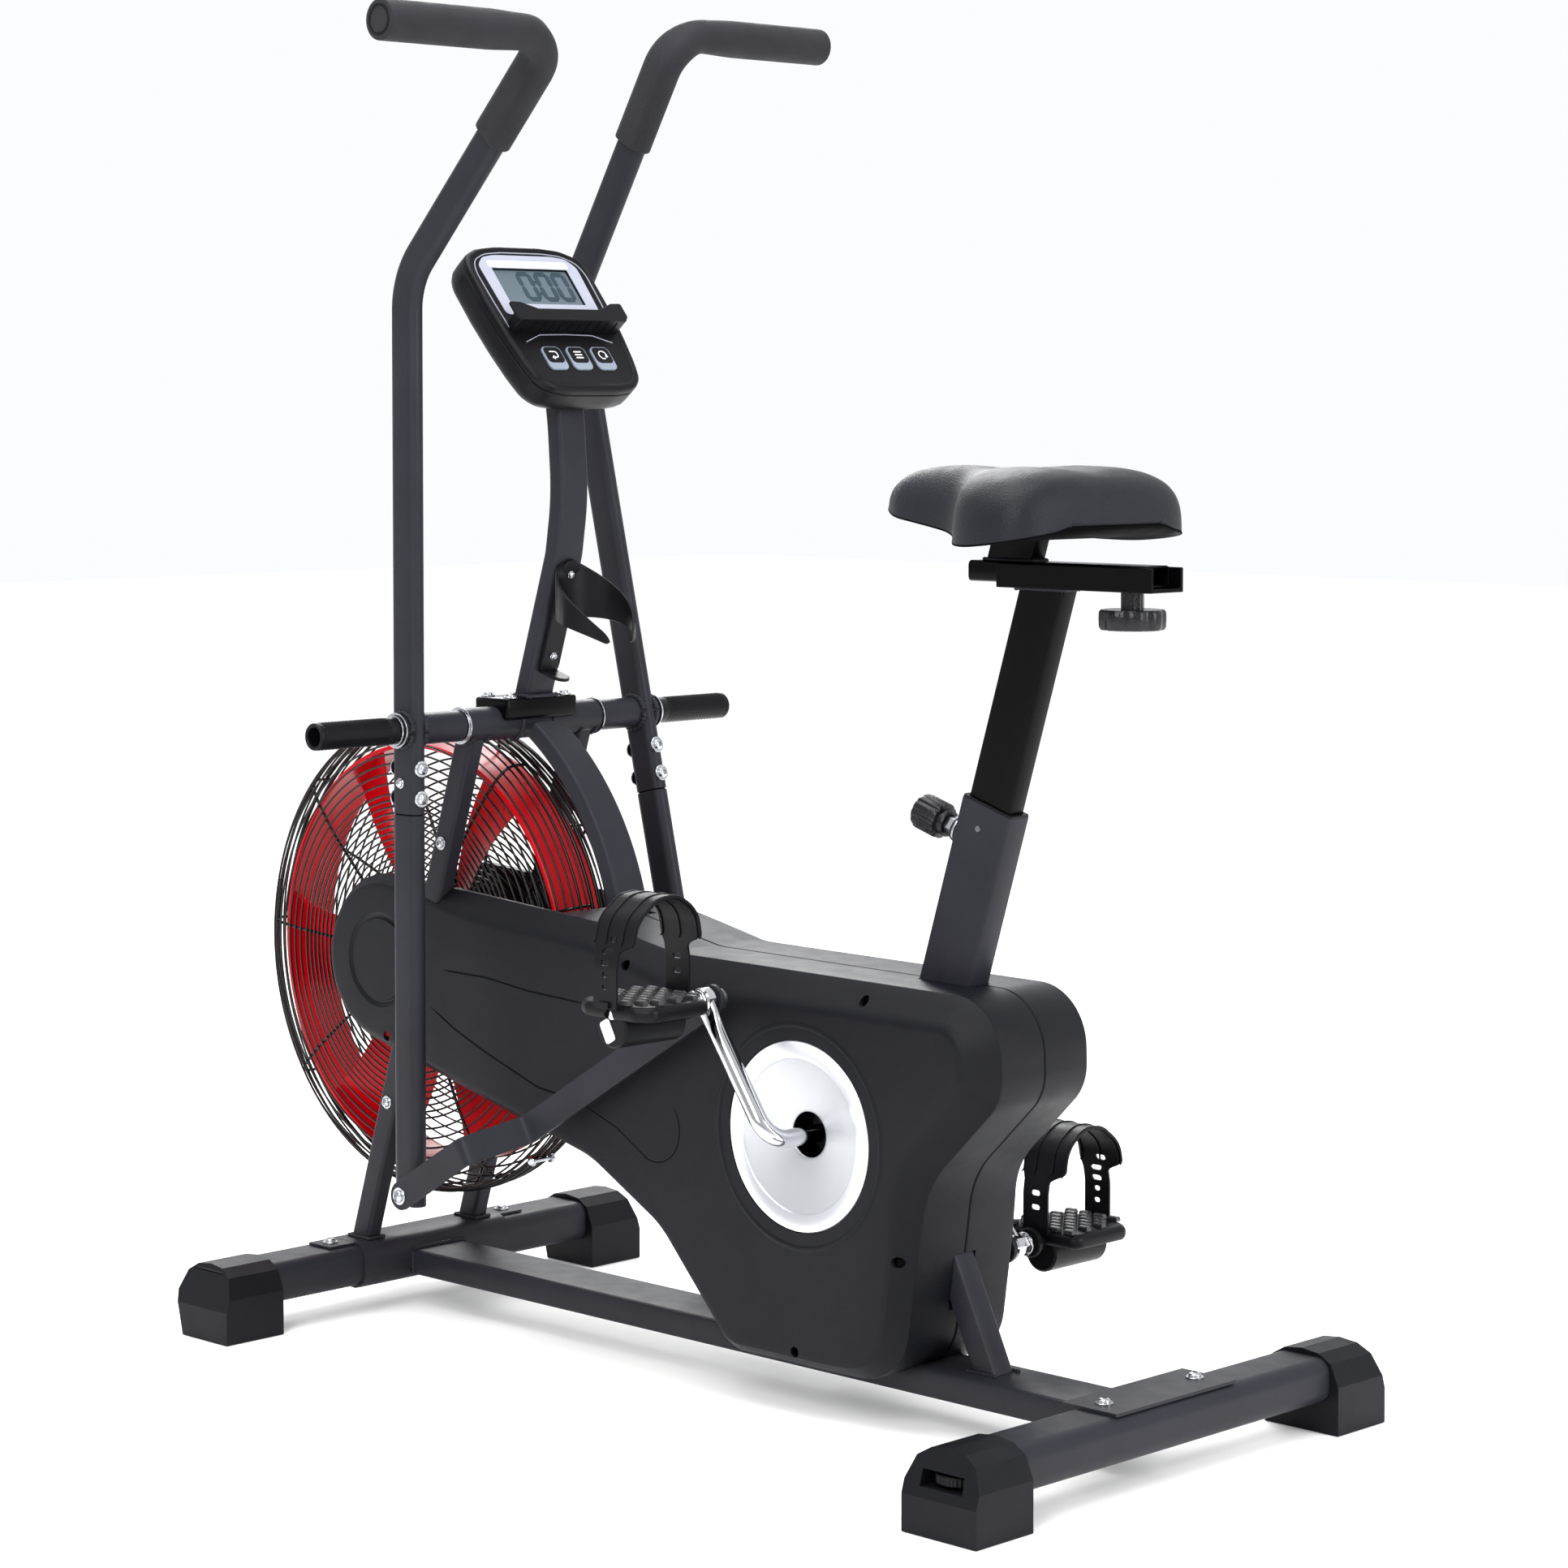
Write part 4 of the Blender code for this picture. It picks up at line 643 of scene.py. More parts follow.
# ---------------------------------------------------------------- links
def links():
    outer, inner, thick, tall = 0.1669, 0.1085, 0.0045, 0.028
    t, radius, edge = thick / 2, tall / 2, 0.0006
    for name, side in SIDES:
        eye, pin = EYES[side], PINS[side]
        length = math.hypot(pin.x - eye.x, pin.z - eye.z)
        turn = Matrix.Rotation(-math.atan2(pin.z - eye.z, pin.x - eye.x), 4, "Y")
        matrix, body = place((eye.x, 0, eye.z), turn), name + "_link"
        run = [(-radius, outer), (0.108, outer), (0.142, inner), (length + radius, inner)]
        run = dense(filleted([(x, side * y) for x, y in run], [0, 0.01, 0.01, 0], 6), 0.004)
        ends = [radius * (1 - math.cos(math.radians(a))) for a in range(6, 96, 6)]
        first, last = run[0].x, run[-1].x
        run = [p for p in run if first + radius < p.x < last - radius]
        run = ([Vector((first + x, side * outer)) for x in ends] + run
               + [Vector((last - x, side * inner)) for x in reversed(ends)])
        sections = []
        for p in run:
            reach = min(p.x - first, last - p.x)
            half = radius if reach >= radius else math.sqrt(max(radius**2 - (radius - reach) ** 2, 1e-8))
            sections.append([(t, half - edge), (t - edge, half), (edge - t, half), (-t, half - edge),
                             (-t, edge - half), (edge - t, -half), (t - edge, -half), (t, edge - half)])
        piece(body + "_bar", solid(swept([(p.x, p.y, 0) for p in run], (0, 1, 0), sections), matrix=matrix), COAT,
              body, body, angle=30)
        out = facing((0, side, 0))
        pins = lathe(mm((4.2, -27), (4.2, 0), (0, 0), (0, -27)), 24, matrix @ place((0, side * outer, 0), out))
        turned(pins, mm((9.4, -10), (9.4, -2), (0, -2), (0, -10)), 32,
               matrix @ place((length, side * inner, 0), out))
        piece(body + "_pins", pins, STEEL, body)
        bolts(body + "_bolt", body, [(matrix @ Vector((0, side * (outer + 0.0022), 0)), (0, side, 0))], 0.0062, 1.4)
        bolts(body + "_crank_bolt", body,
              [(matrix @ Vector((length, side * (inner - 0.01), 0)), (0, -side, 0))], 0.0058, 1.3)


# ---------------------------------------------------------------- crank
def crank():
    ends = {side: PINS[side] - CRANK for side in (-1, 1)}
    line = [(ends[-1].x, -CRANK_PLANE, ends[-1].z), (0, -CRANK_PLANE, 0), (0, CRANK_PLANE, 0),
            (ends[1].x, CRANK_PLANE, ends[1].z)]
    path = dense(filleted(line, [0, 0.024, 0.024, 0], 14), 0.008)
    sections = []
    for p in path:
        # The rod is pressed flat and broad where it meets the eyes.
        reach = min((p - path[0]).length, (p - path[-1]).length)
        pressed = 1 - smooth((reach - 0.008) / 0.03)
        sections.append([(u * (1 + 0.34 * pressed), v * (1 - 0.38 * pressed)) for u, v in circle(CRANK_ROD, 32)])
    start_across = (path[1] - path[0]).cross(Vector((0, 1, 0)))
    rod = solid(swept(path, start_across, sections), matrix=place(CRANK))
    piece("crank_rod", rod, CHROME, "crank", "crank", angle=50)
    journal = lathe(mm((11, 29.5), (11, -29.5), (0, -29.5), (0, 29.5)), 40, place(CRANK, ALONG_Y))
    piece("crank_journal", journal, STEEL, "crank")
    for name, side in SIDES:
        end = centred(CRANK + ends[side], side, CRANK_PLANE)
        eye = lathe(mm((11.2, 5.8), (12.5, 4.4), (12.5, -4.4), (11.2, -5.8), (0, -5.8), (0, 5.8)), 48, end)
        piece(name + "_crank_eye", eye, CHROME, "crank", angle=40)
        spindle = lathe(mm((5, 6), (5, 115.5), (4.2, 116.5), (0, 116.5), (0, 6)), 32, end)
        for radius, low, high, steps in ((10.5, 6.2, 7.7, 40), (9.2, 8.2, 14.5, 6), (11.2, 15, 16.4, 40)):
            turned(spindle, mm((radius, low), (radius, high), (5.1, high), (5.1, low)), steps, end)
        piece(name + "_spindle", spindle, CHROME, "crank", bevel=0.0004)
        cup = lathe(mm((24, 3), (24.5, 2.5), (24.5, 0.3), (21.2, 0.3), (21.2, -9.5), (11.6, -9.5), (11.6, 1.5),
                       (15, 1.5), (16.5, 3)), 48, centred(CRANK, side, 0.0343))
        piece(name + "_bottom_cup", cup, STEEL, "frame", name + "_bearing_cup")


levers()
axle_parts()
links()
crank()


# ---------------------------------------------------------------- housing
HUB_RADIUS, HUB_DISC = 0.0865, 0.0415
SHELL_WALL = 0.0025


def housing_outline():
    lobe = arc((FAN.x, FAN.z), HUB_RADIUS, 254, 86, 60)
    corners = [
        (-0.06, 0.427), (0.04, 0.4075), (0.447, 0.4045), (0.449, 0.316), (0.364, 0.232),
        (0.338, 0.046), (0.128, 0.046), (0.034, 0.146), (-0.066, 0.2),
    ]
    radii = [0.1, 0.1, 0.055, 0.048, 0.08, 0.055, 0.04, 0.1, 0.12]
    body = filleted([lobe[-1], *corners, lobe[0]], [0, *radii, 0], 14)
    points = dense([(x, 0, z) for x, z in lobe + body[1:]], 0.006)[:-1]
    return [p for i, p in enumerate(points) if (p - points[i - 1]).length > 0.0004]


def band_of(point):
    """How far the slanted edge reaches inwards from the outline, and how deep it drops, at a point of the outline."""
    body = smooth((point.x + 0.03) / 0.12)
    high = smooth((point.z - 0.17) / 0.09)
    rear = smooth((point.x - 0.28) / 0.05) * (1 - high)
    neck = (1 - body) * smooth((point.x + 0.33) / 0.1)
    upper = smooth((point.z - 0.33) / 0.05)
    wide = 0.0095 + body * high * 0.019 + rear * 0.008 + neck * upper * 0.013
    deep = 0.0085 + body * high * 0.014 + rear * 0.007 + neck * upper * 0.009
    return wide, deep


def shell_solid(side, grow=0.0):
    """The closed solid of half a housing, its outer surface moved outwards by grow."""
    outline = housing_outline()
    count = len(outline)
    inwards = []
    for i in range(count):
        ahead = outline[(i + 2) % count] - outline[i - 2]
        inwards.append(Vector((ahead.z, 0, -ahead.x)).normalized())
    bands = [band_of(p) for p in outline]
    bands = [
        tuple(sum(bands[(i + k) % count][n] for k in range(-6, 7)) / 13 for n in (0, 1)) for i in range(count)
    ]
    half = HOUSING_HALF + grow
    steps = [(0, 0, 0.001, -0.0004), (0, 0, 0, -0.0016)] if not grow else [(0, 0, 0, 0.02)]
    wall = [(0, 1, 0.0, 0.0046), (0, 1, 0.0004, 0.0022), (0, 1, 0.0018, 0.0006)]
    face = [(0.25, 0.78, 0.0012, 0), (0.5, 0.52, 0.0006, 0), (0.75, 0.26, 0.0002, 0.0002), (0.93, 0.07, 0, 0.0003),
            (1.0, 0.02, 0.001, 0.0002), (1.0, 0.0, 0.005, 0)]
    rings = []
    for kind, rows in (("seam", steps), ("wall", wall), ("face", face)):
        for share, drop, inset, extra in rows:
            ring = []
            for point, inward, (wide, deep) in zip(outline, inwards, bands):
                at = point + inward * (share * wide + inset - grow)
                level = half - drop * deep - extra if kind != "seam" else -extra
                ring.append((at.x, side * level, at.z))
            rings.append(ring)
    shape = solid(rings)
    return shape


def groove(points, wide, deep, side):
    """A V-shaped channel along a line on the housing's face, shallower towards its ends."""
    path = dense([(x, side * HOUSING_HALF, z) for x, z in filleted(points, 0.03, 10)], 0.004)
    section = [(-wide, 0.001), (-wide, 0.004), (wide, 0.004), (wide, 0.001), (0.0002, -deep), (-0.0002, -deep)]
    rings = []
    last = len(path) - 1
    for i, p in enumerate(path):
        ahead = (path[min(i + 1, last)] - path[max(i - 1, 0)]).normalized()
        across = Vector((ahead.z, 0, -ahead.x))
        fade = min(1.0, (min(i, last - i) + 0.6) / 4)
        rings.append([p + across * u * fade + Vector((0, side, 0)) * (v if v > 0 else v * fade) for u, v in section])
    return solid(rings)


SHELL_SCREWS = mm((295.4, 390, 10), (342, 160.7, 0), (218.8, 60, 0), (-6.6, 392.6, 4), (-358.4, 285, 0))


def screw_places(side):
    """Where the shell's screws sit: along, up, and how far below the flat face."""
    return [centred(Vector((x, 0, z)), side, HOUSING_HALF - drop) for x, z, drop in SHELL_SCREWS]


def housing():
    side = -1
    strut_y = side * (STRUT_Y - 0.006)
    strut = Vector((STRUT_FOOT.x, strut_y, STRUT_FOOT.z)).lerp(Vector((PIVOT.x, strut_y, PIVOT.z)), 0.45)
    strut_turn = turn_y(math.atan2(PIVOT.x - STRUT_FOOT.x, PIVOT.z - STRUT_FOOT.z))
    cutters = [
        shell_solid(side, -SHELL_WALL),
        disc_shape(0.262, -0.0605, 0.0605, place(FAN, ALONG_Y), 120),
        disc_shape(DISC_RADIUS + 0.0006, -0.02, 0.02, place((CRANK.x, side * HOUSING_HALF, CRANK.z), ALONG_Y), 96),
        box_shape((0.0612, 0.0282, 0.9), place(SEAT_FOOT + SEAT_UP * 0.3, SEAT_TURN)),
        box_shape((0.8, 0.07, 0.052), place((0.2, 0, 0.0311))),
        box_shape((0.034, 0.0412, 0.06), place((-0.086, 0, 0.428), turn_y(math.radians(-14)))),
        box_shape((0.028, 0.029, 0.16), place((0.352, 0, 0.13), turn_y(math.radians(-24.4)))),
        box_shape((0.026, 0.0311, 0.7), place(strut, strut_turn)),
        groove(mm((-272, 361.5), (-205, 360.6), (-145, 354), (-60, 350)), 0.0016, 0.0014, side),
        groove(mm((-290, 322.5), (-254, 304.3), (-205, 285.6), (-130, 260.9), (-72, 254.7)), 0.0018, 0.0016, side),
        groove(mm((-72, 254.7), (-18, 236), (30, 208), (62, 216), (70, 246.9), (60, 268)), 0.0012, 0.001, side),
        lathe([(HUB_DISC + out, height) for out, height in
               mm((0, 2), (0.4, -1.6), (2.2, -2), (6.8, -0.4), (8, 2))], 96, centred(FAN, side, HOUSING_HALF)),
    ]
    cutters += [disc_shape(0.005, -0.012, 0.004, at, 20) for at in screw_places(side)]
    mesh = carved(shell_solid(side), *cutters, angle=22)
    for name, hand in SIDES:
        shell = mesh if hand == side else mesh.copy()
        if hand != side:
            shell.transform(Matrix.Diagonal((1, -1, 1, 1)))
            shell.flip_normals()
        piece(name + "_shell", shell, HOUSING, "frame", name + "_housing")
        ridge = lathe(mm((98.5, -1.2), (99, 0.6), (100.4, 2), (102.2, 2.6), (104.2, 2.1), (106.6, 0.9), (108.6, -0.4),
                         (108.6, -1.6), (98.5, -1.6)), 120, centred(CRANK, hand, HOUSING_HALF - 0.0014))
        piece(name + "_shell_ridge", ridge, HOUSING, "frame")
        # The screws sit deep in their holes and take the darker black that paints the shade in the holes.
        screw = bmesh.new()
        for at in screw_places(hand):
            turned(screw, mm((4.7, -11.2), (4.7, -9), (3.3, -9), (3.3, -7), (2.2, -6), (1, -6.2), (0.9, -8.5),
                             (0, -8.5), (0, -11.2)), 20, at)
        piece(name + "_shell_screws", screw, SHADE_BLACK, "frame")
        cover_at = centred(CRANK, hand, HOUSING_HALF)
        rim = lathe(mm((87.8, -3.8), (87.8, -1), (87, -0.2), (72.2, -0.2), (71.4, -0.8), (70.8, -2.4), (70, -4)), 120,
                    cover_at)
        piece(name + "_cover_rim", rim, SILVER_RIM, "frame", name + "_crank_cover", angle=40)
        dish = lathe(mm((71.2, -2.2), (60, -5), (40, -9.7), (25, -13.4), (22, -14.3), (21.2, -15.2), (21.2, -16.4),
                        (24, -16), (71.2, -5.2)), 120, cover_at)
        piece(name + "_cover_dish", dish, SILVER, "frame", angle=40)


# ---------------------------------------------------------------- fan and its guard
def torus(shape, radius, level, wire, matrix, steps=120, sides=6):
    rings = []
    for c, s in circle(1, steps):
        rings.append([((radius + u) * c, (radius + u) * s, level + v) for u, v in circle(wire, sides)])
    skin(shape, rings, closed=True, matrix=matrix)


def guard_level(radius):
    """How far from the middle plane the guard's surface is at a radius."""
    knots = mm((50, 43.6), (168, 43.3), (190, 41.5), (210, 39), (226, 35.5), (236, 30.5), (242.5, 24.5), (244.5, 19))
    for (r0, y0), (r1, y1) in zip(knots, knots[1:]):
        if radius <= r1:
            return y0 + (y1 - y0) * (radius - r0) / (r1 - r0)
    return knots[-1][1]


def guards():
    wire, rib, inner = 0.0011, 0.0016, 0.0019
    for name, side in SIDES:
        matrix = centred(FAN, side)
        shape = bmesh.new()
        face = [0.062 + 0.0065 * i for i in range(17)]
        shoulder = [0.177, 0.187, 0.197, 0.207, 0.217, 0.2265, 0.235, 0.241]
        for radius in face + shoulder:
            torus(shape, radius, guard_level(radius), wire, matrix)
        torus(shape, GUARD_RADIUS - 0.0012, 0.019, 0.0016, matrix, 140, 8)
        torus(shape, GUARD_RADIUS, 0.0115, wire, matrix, 140, 6)
        torus(shape, GUARD_RADIUS, 0.0048, 0.0022, matrix, 140, 10)
        torus(shape, 0.055, 0.0432, 0.002, matrix, 80, 8)
        for i in range(9):
            angle = math.radians(16.5 + 40 * i) * -side
            away = Vector((math.cos(angle), math.sin(angle), 0))
            radii = [0.055, 0.11, 0.168, 0.178, 0.187, 0.197, 0.207, 0.217, 0.2265, 0.235, 0.2405]
            path = [away * (r - 0.0007) + Vector((0, 0, guard_level(r) - inner)) for r in radii]
            path += [away * 0.2424 + Vector((0, 0, z)) for z in (0.0185, 0.004)]
            skin(shape, swept(path, away.cross(Vector((0, 0, 1))), circle(rib, 8)), matrix=matrix)
        piece(name + "_guard", shape, WIRE, "frame", name + "_fan_guard", angle=70)
    # The screw that draws the two halves' rims together, low at the back.
    angle, reach = math.radians(-52), 0.248
    at = place((FAN.x + reach * math.cos(angle), 0, FAN.z + reach * math.sin(angle)), ALONG_Y)
    clamp = lathe(mm((2.2, -14.5), (2.2, 14.5), (0, 14.5), (0, -14.5)), 20, at)
    turned(clamp, mm((5, 11), (5, 14.2), (3.6, 15.5), (0, 15.5), (0, 11)), 24, at)
    turned(clamp, mm((5, -11), (5, -15), (0, -15), (0, -11)), 6, at)
    piece("guard_clamp_screw", clamp, ZINC, "frame", bevel=0.0004)


def fan():
    matrix = place(FAN, ALONG_Y)
    half = 30
    rim = mm((1.2, half), (0, half - 1.2), (0.6, half - 4), (0.6, 4 - half), (0, 1.2 - half), (1.2, -half),
             (4, -half), (4.6, 1.2 - half), (4, 4 - half), (4, half - 4), (4.6, half - 1.2), (4, half))
    band = lathe([(FAN_RADIUS - inset, height) for inset, height in rim], 140, matrix)
    piece("fan_band", band, RED, "fan", "fan_wheel", angle=50)
    hub = lathe(mm((60, 26), (58, 28), (26, 30), (20, 41), (18, 43), (6.6, 43), (6.6, -43), (18, -43), (20, -41),
                   (26, -30), (58, -28), (60, -26)), 96, matrix)
    piece("fan_hub", hub, BLACK, "fan", angle=40)
    blades = bmesh.new()
    rows, columns, root = 12, 10, 0.0585
    for blade in range(6):
        base = 2 * math.pi * blade / 6
        faces = []
        for skin_side in (-1, 1):
            grid = []
            for i in range(rows + 1):
                u = i / rows
                radius = root + (FAN_RADIUS - 0.0025 - root) * u
                chord, pitch = 0.031 + 0.019 * u, math.radians(33 - 11 * u)
                line = []
                for j in range(columns + 1):
                    v = 2 * j / columns - 1
                    run = v * chord * math.cos(pitch) + 0.01 * math.sin(math.pi * u)
                    depth = v * chord * math.sin(pitch) + 0.0055 * (1 - v * v) - 0.003
                    depth += skin_side * 0.0013 * (1 - 0.6 * v * v)
                    a = base + run / max(radius, 0.08)
                    line.append(blades.verts.new((FAN.x + radius * math.cos(a), max(-0.0285, min(0.0285, depth)),
                                                  FAN.z + radius * math.sin(a))))
                grid.append(line)
            faces.append(grid)
        low, high = faces
        for grid in faces:
            for i in range(rows):
                for j in range(columns):
                    blades.faces.new((grid[i][j], grid[i][j + 1], grid[i + 1][j + 1], grid[i + 1][j]))
        for i in range(rows):
            for j in (0, columns):
                blades.faces.new((low[i][j], low[i + 1][j], high[i + 1][j], high[i][j]))
        for j in range(columns):
            for i in (0, rows):
                blades.faces.new((low[i][j], low[i][j + 1], high[i][j + 1], high[i][j]))
    piece("fan_blades", blades, RED, "fan", angle=50)


housing()
guards()
fan()


# ---------------------------------------------------------------- pedals
def tread(matrix, side):
    """Raised blocks set like bricks on the pedal's platform."""
    pick = random.Random(7 + side)
    shape = bmesh.new()
    long, wide, gap_x, gap_y = 0.0118, 0.0066, 0.0058, 0.0042
    for row in range(8):
        y = -0.0375 + row * (wide + gap_y)
        for column in range(-3, 4):
            x = (column + 0.5 * (row % 2)) * (long + gap_x)
            if abs(x) > 0.04 or (y * side > 0.022 and abs(x) > 0.03):
                continue
            top = 0.015 + pick.uniform(-0.0002, 0.0002)
            rings = [[(x + u * (long / 2 - inset), y + v * (wide / 2 - inset), z) for u, v in SQUARE]
                     for inset, z in ((0.0, 0.0108), (0.0004, 0.014), (0.0012, top))]
            skin(shape, rings, matrix=matrix)
    return shape


def strap(body, pin, side):
    """The pierced strap: a flat strip bent over the foot along its path, ribbed on both faces."""
    line = mm((152.7, 6.5), (152.7, 45), (160, 90), (185, 106.5), (210, 104.5), (235, 86), (243, 45), (243, 6.5))
    path = filleted([(side * y, z) for y, z in line], [0, 0.05, 0.03, 0.03, 0.03, 0.03, 0.05, 0], 10)
    path = [p for i, p in enumerate(path) if i == 0 or (Vector(p) - Vector(path[i - 1])).length > 1e-5]
    path = dense([(0, y, z) for y, z in path], 0.003)
    reach = [0.0]
    for a, b in zip(path, path[1:]):
        reach.append(reach[-1] + (b - a).length)

    def hood(p):
        """Rises from 0 to 1 where the strap spreads over the foot."""
        return smooth((p.z - 0.056) / 0.012)

    def where(z, outer):
        """The distance along the strap at a height on its inner or outer leg."""
        leg = [i for i, p in enumerate(path) if (abs(p.y) > 0.2) == outer]
        return reach[min(leg, key=lambda i: abs(path[i].z - z))]

    def wrap(shape):
        """Lays a flat strip along the strap's path."""
        for u in reach[1:-1]:
            geometry = shape.verts[:] + shape.edges[:] + shape.faces[:]
            bmesh.ops.bisect_plane(shape, geom=geometry, dist=1e-6, plane_co=(u, 0, 0), plane_no=(1, 0, 0))
        for v in shape.verts:
            i = max(0, min(len(reach) - 2, next((k for k, r in enumerate(reach) if r >= v.co.x - 1e-7), 1) - 1))
            a, b = path[i], path[i + 1]
            ahead = (b - a).normalized()
            spot = a.lerp(b, (v.co.x - reach[i]) / (reach[i + 1] - reach[i]))
            out = Vector((0, -ahead.z, ahead.y)) * side
            v.co = spot + Vector((v.co.y + 0.008 * hood(spot), 0, 0)) + out * v.co.z
        shape.transform(place((pin.x, 0, pin.z)))
        return shape

    edge = [(r, 0.015 + 0.011 * hood(p)) for r, p in zip(reach, path)]
    outlines = [[(r, -w) for r, w in edge] + [(r, w) for r, w in reversed(edge)]]
    for z, long, tall, outer in ((70, 12, 5.2, True), (59, 13, 5.2, True), (48, 12, 5.2, True), (37, 7.5, 4.8, True),
                                 (27, 7.5, 4.8, True), (33, 11, 5, False), (46, 11, 5, False)):
        at_u = where(z / 1000, outer)
        outlines.append([(at_u + y, x) for x, y in stadium(long / 1000, tall / 1000, 6)])
    piece(body + "_strap_band", wrap(plate(outlines, -0.0012, 0.0012)), BLACK, body, body + "_strap", bevel=0.0003,
          angle=50)
    ridges = bmesh.new()
    first, last = where(0.064, False), where(0.064, True)
    for middle, wide, low, high in mm((-10.5, 1.1, 0.8, 2.3), (10.5, 1.1, 0.8, 2.3), (24.3, 0.8, 0.6, 1.9),
                                      (-24.3, 0.8, 0.6, 1.9), (0, 0.9, -2.4, -0.8), (22.5, 0.9, -2.6, -0.8),
                                      (-22.5, 0.9, -2.6, -0.8)):
        slab(ridges, [[(first, middle - wide), (last, middle - wide), (last, middle + wide), (first, middle + wide)]],
             low, high)
    piece(body + "_strap_ridges", wrap(ridges), BLACK, body, bevel=0.0005)


def pedal(name, side):
    body = name + "_pedal"
    pin = PINS[side]
    at, out = place((pin.x, side * PEDAL_Y, pin.z)), facing((0, side, 0))
    half, long = 0.0425, 0.048
    corners = [(-long, -half), (long, -half), (long, 0.032), (0.032, half), (-0.032, half), (-long, 0.032)]
    outline = [(x, y * side) for x, y in filleted(corners, 0.012, 8, closed=True)]
    rings = [[(x * (1 - inset / long), y * (1 - inset / half), z) for x, y in outline] for inset, z in
             mm((10, -3.6), (5, -3.6), (2, -2.8), (0.5, -0.8), (0, 1.5), (0, 5.2), (0.6, 7.5), (2, 9.5), (4.2, 10.6),
                (6, 10.8))]
    deck = carved(solid(rings, matrix=at), disc_shape(SPINDLE_BORE, -0.2, 0.2, at @ ALONG_Y, 24))
    piece(body + "_deck", deck, BLACK, body, body)
    piece(body + "_tread", tread(at, side), TREAD, body, angle=25)
    outer = half - 0.004
    profile = [(0.017, outer), (0.019, outer - 0.002), (0.019, 0.002 - outer), (0.017, -outer), (0, -outer),
               (0, outer)]
    barrel = lathe(profile, 56, at @ place((0, 0, -0.0115), out))
    cuts = box_shape((0.05, 0.2, 0.02), at @ place((0, 0, 0.008))), disc_shape(SPINDLE_BORE, -0.2, 0.2,
                     at @ ALONG_Y, 24)
    piece(body + "_barrel", carved(barrel, *cuts), BLACK, body, bevel=0.0005)
    collar = lathe(mm((12.8, -56), (14, -55), (14, -51.2), (12.5, -50), (10, -49.2), (10, -42), (5.6, -42),
                      (5.6, -56)), 48, at @ out)
    piece(body + "_collar", collar, BLACK, body)
    tab_at = at @ place((-0.0045, side * (outer + 0.0002), -0.015), out @ Matrix.Rotation(0.5, 4, "Z"))
    piece(body + "_tab", plate([bar(0.013, 0.021, 0.003, 5)], 0, 0.0006, tab_at), WHITE, body)
    strap(body, pin, side)
    buckle = plate([bar(0.013, 0.006, 0.0012, 3)], 0, 0.0022, place((pin.x, side * 0.2446, pin.z + 0.01), out))
    piece(body + "_buckle", buckle, BLACK, body, bevel=0.0006)


# ---------------------------------------------------------------- saddle
def between(rows, t):
    """A Catmull-Rom curve through rows of numbers, t from 0 to 1."""
    spot = t * (len(rows) - 1)
    i = min(int(spot), len(rows) - 2)
    f = spot - i
    a, b, c, d = rows[max(i - 1, 0)], rows[i], rows[i + 1], rows[min(i + 2, len(rows) - 1)]
    return [
        0.5 * (2 * q + (r - p) * f + (2 * p - 5 * q + 4 * r - s) * f * f + (3 * q - p - 3 * r + s) * f**3)
        for p, q, r, s in zip(a, b, c, d)
    ]


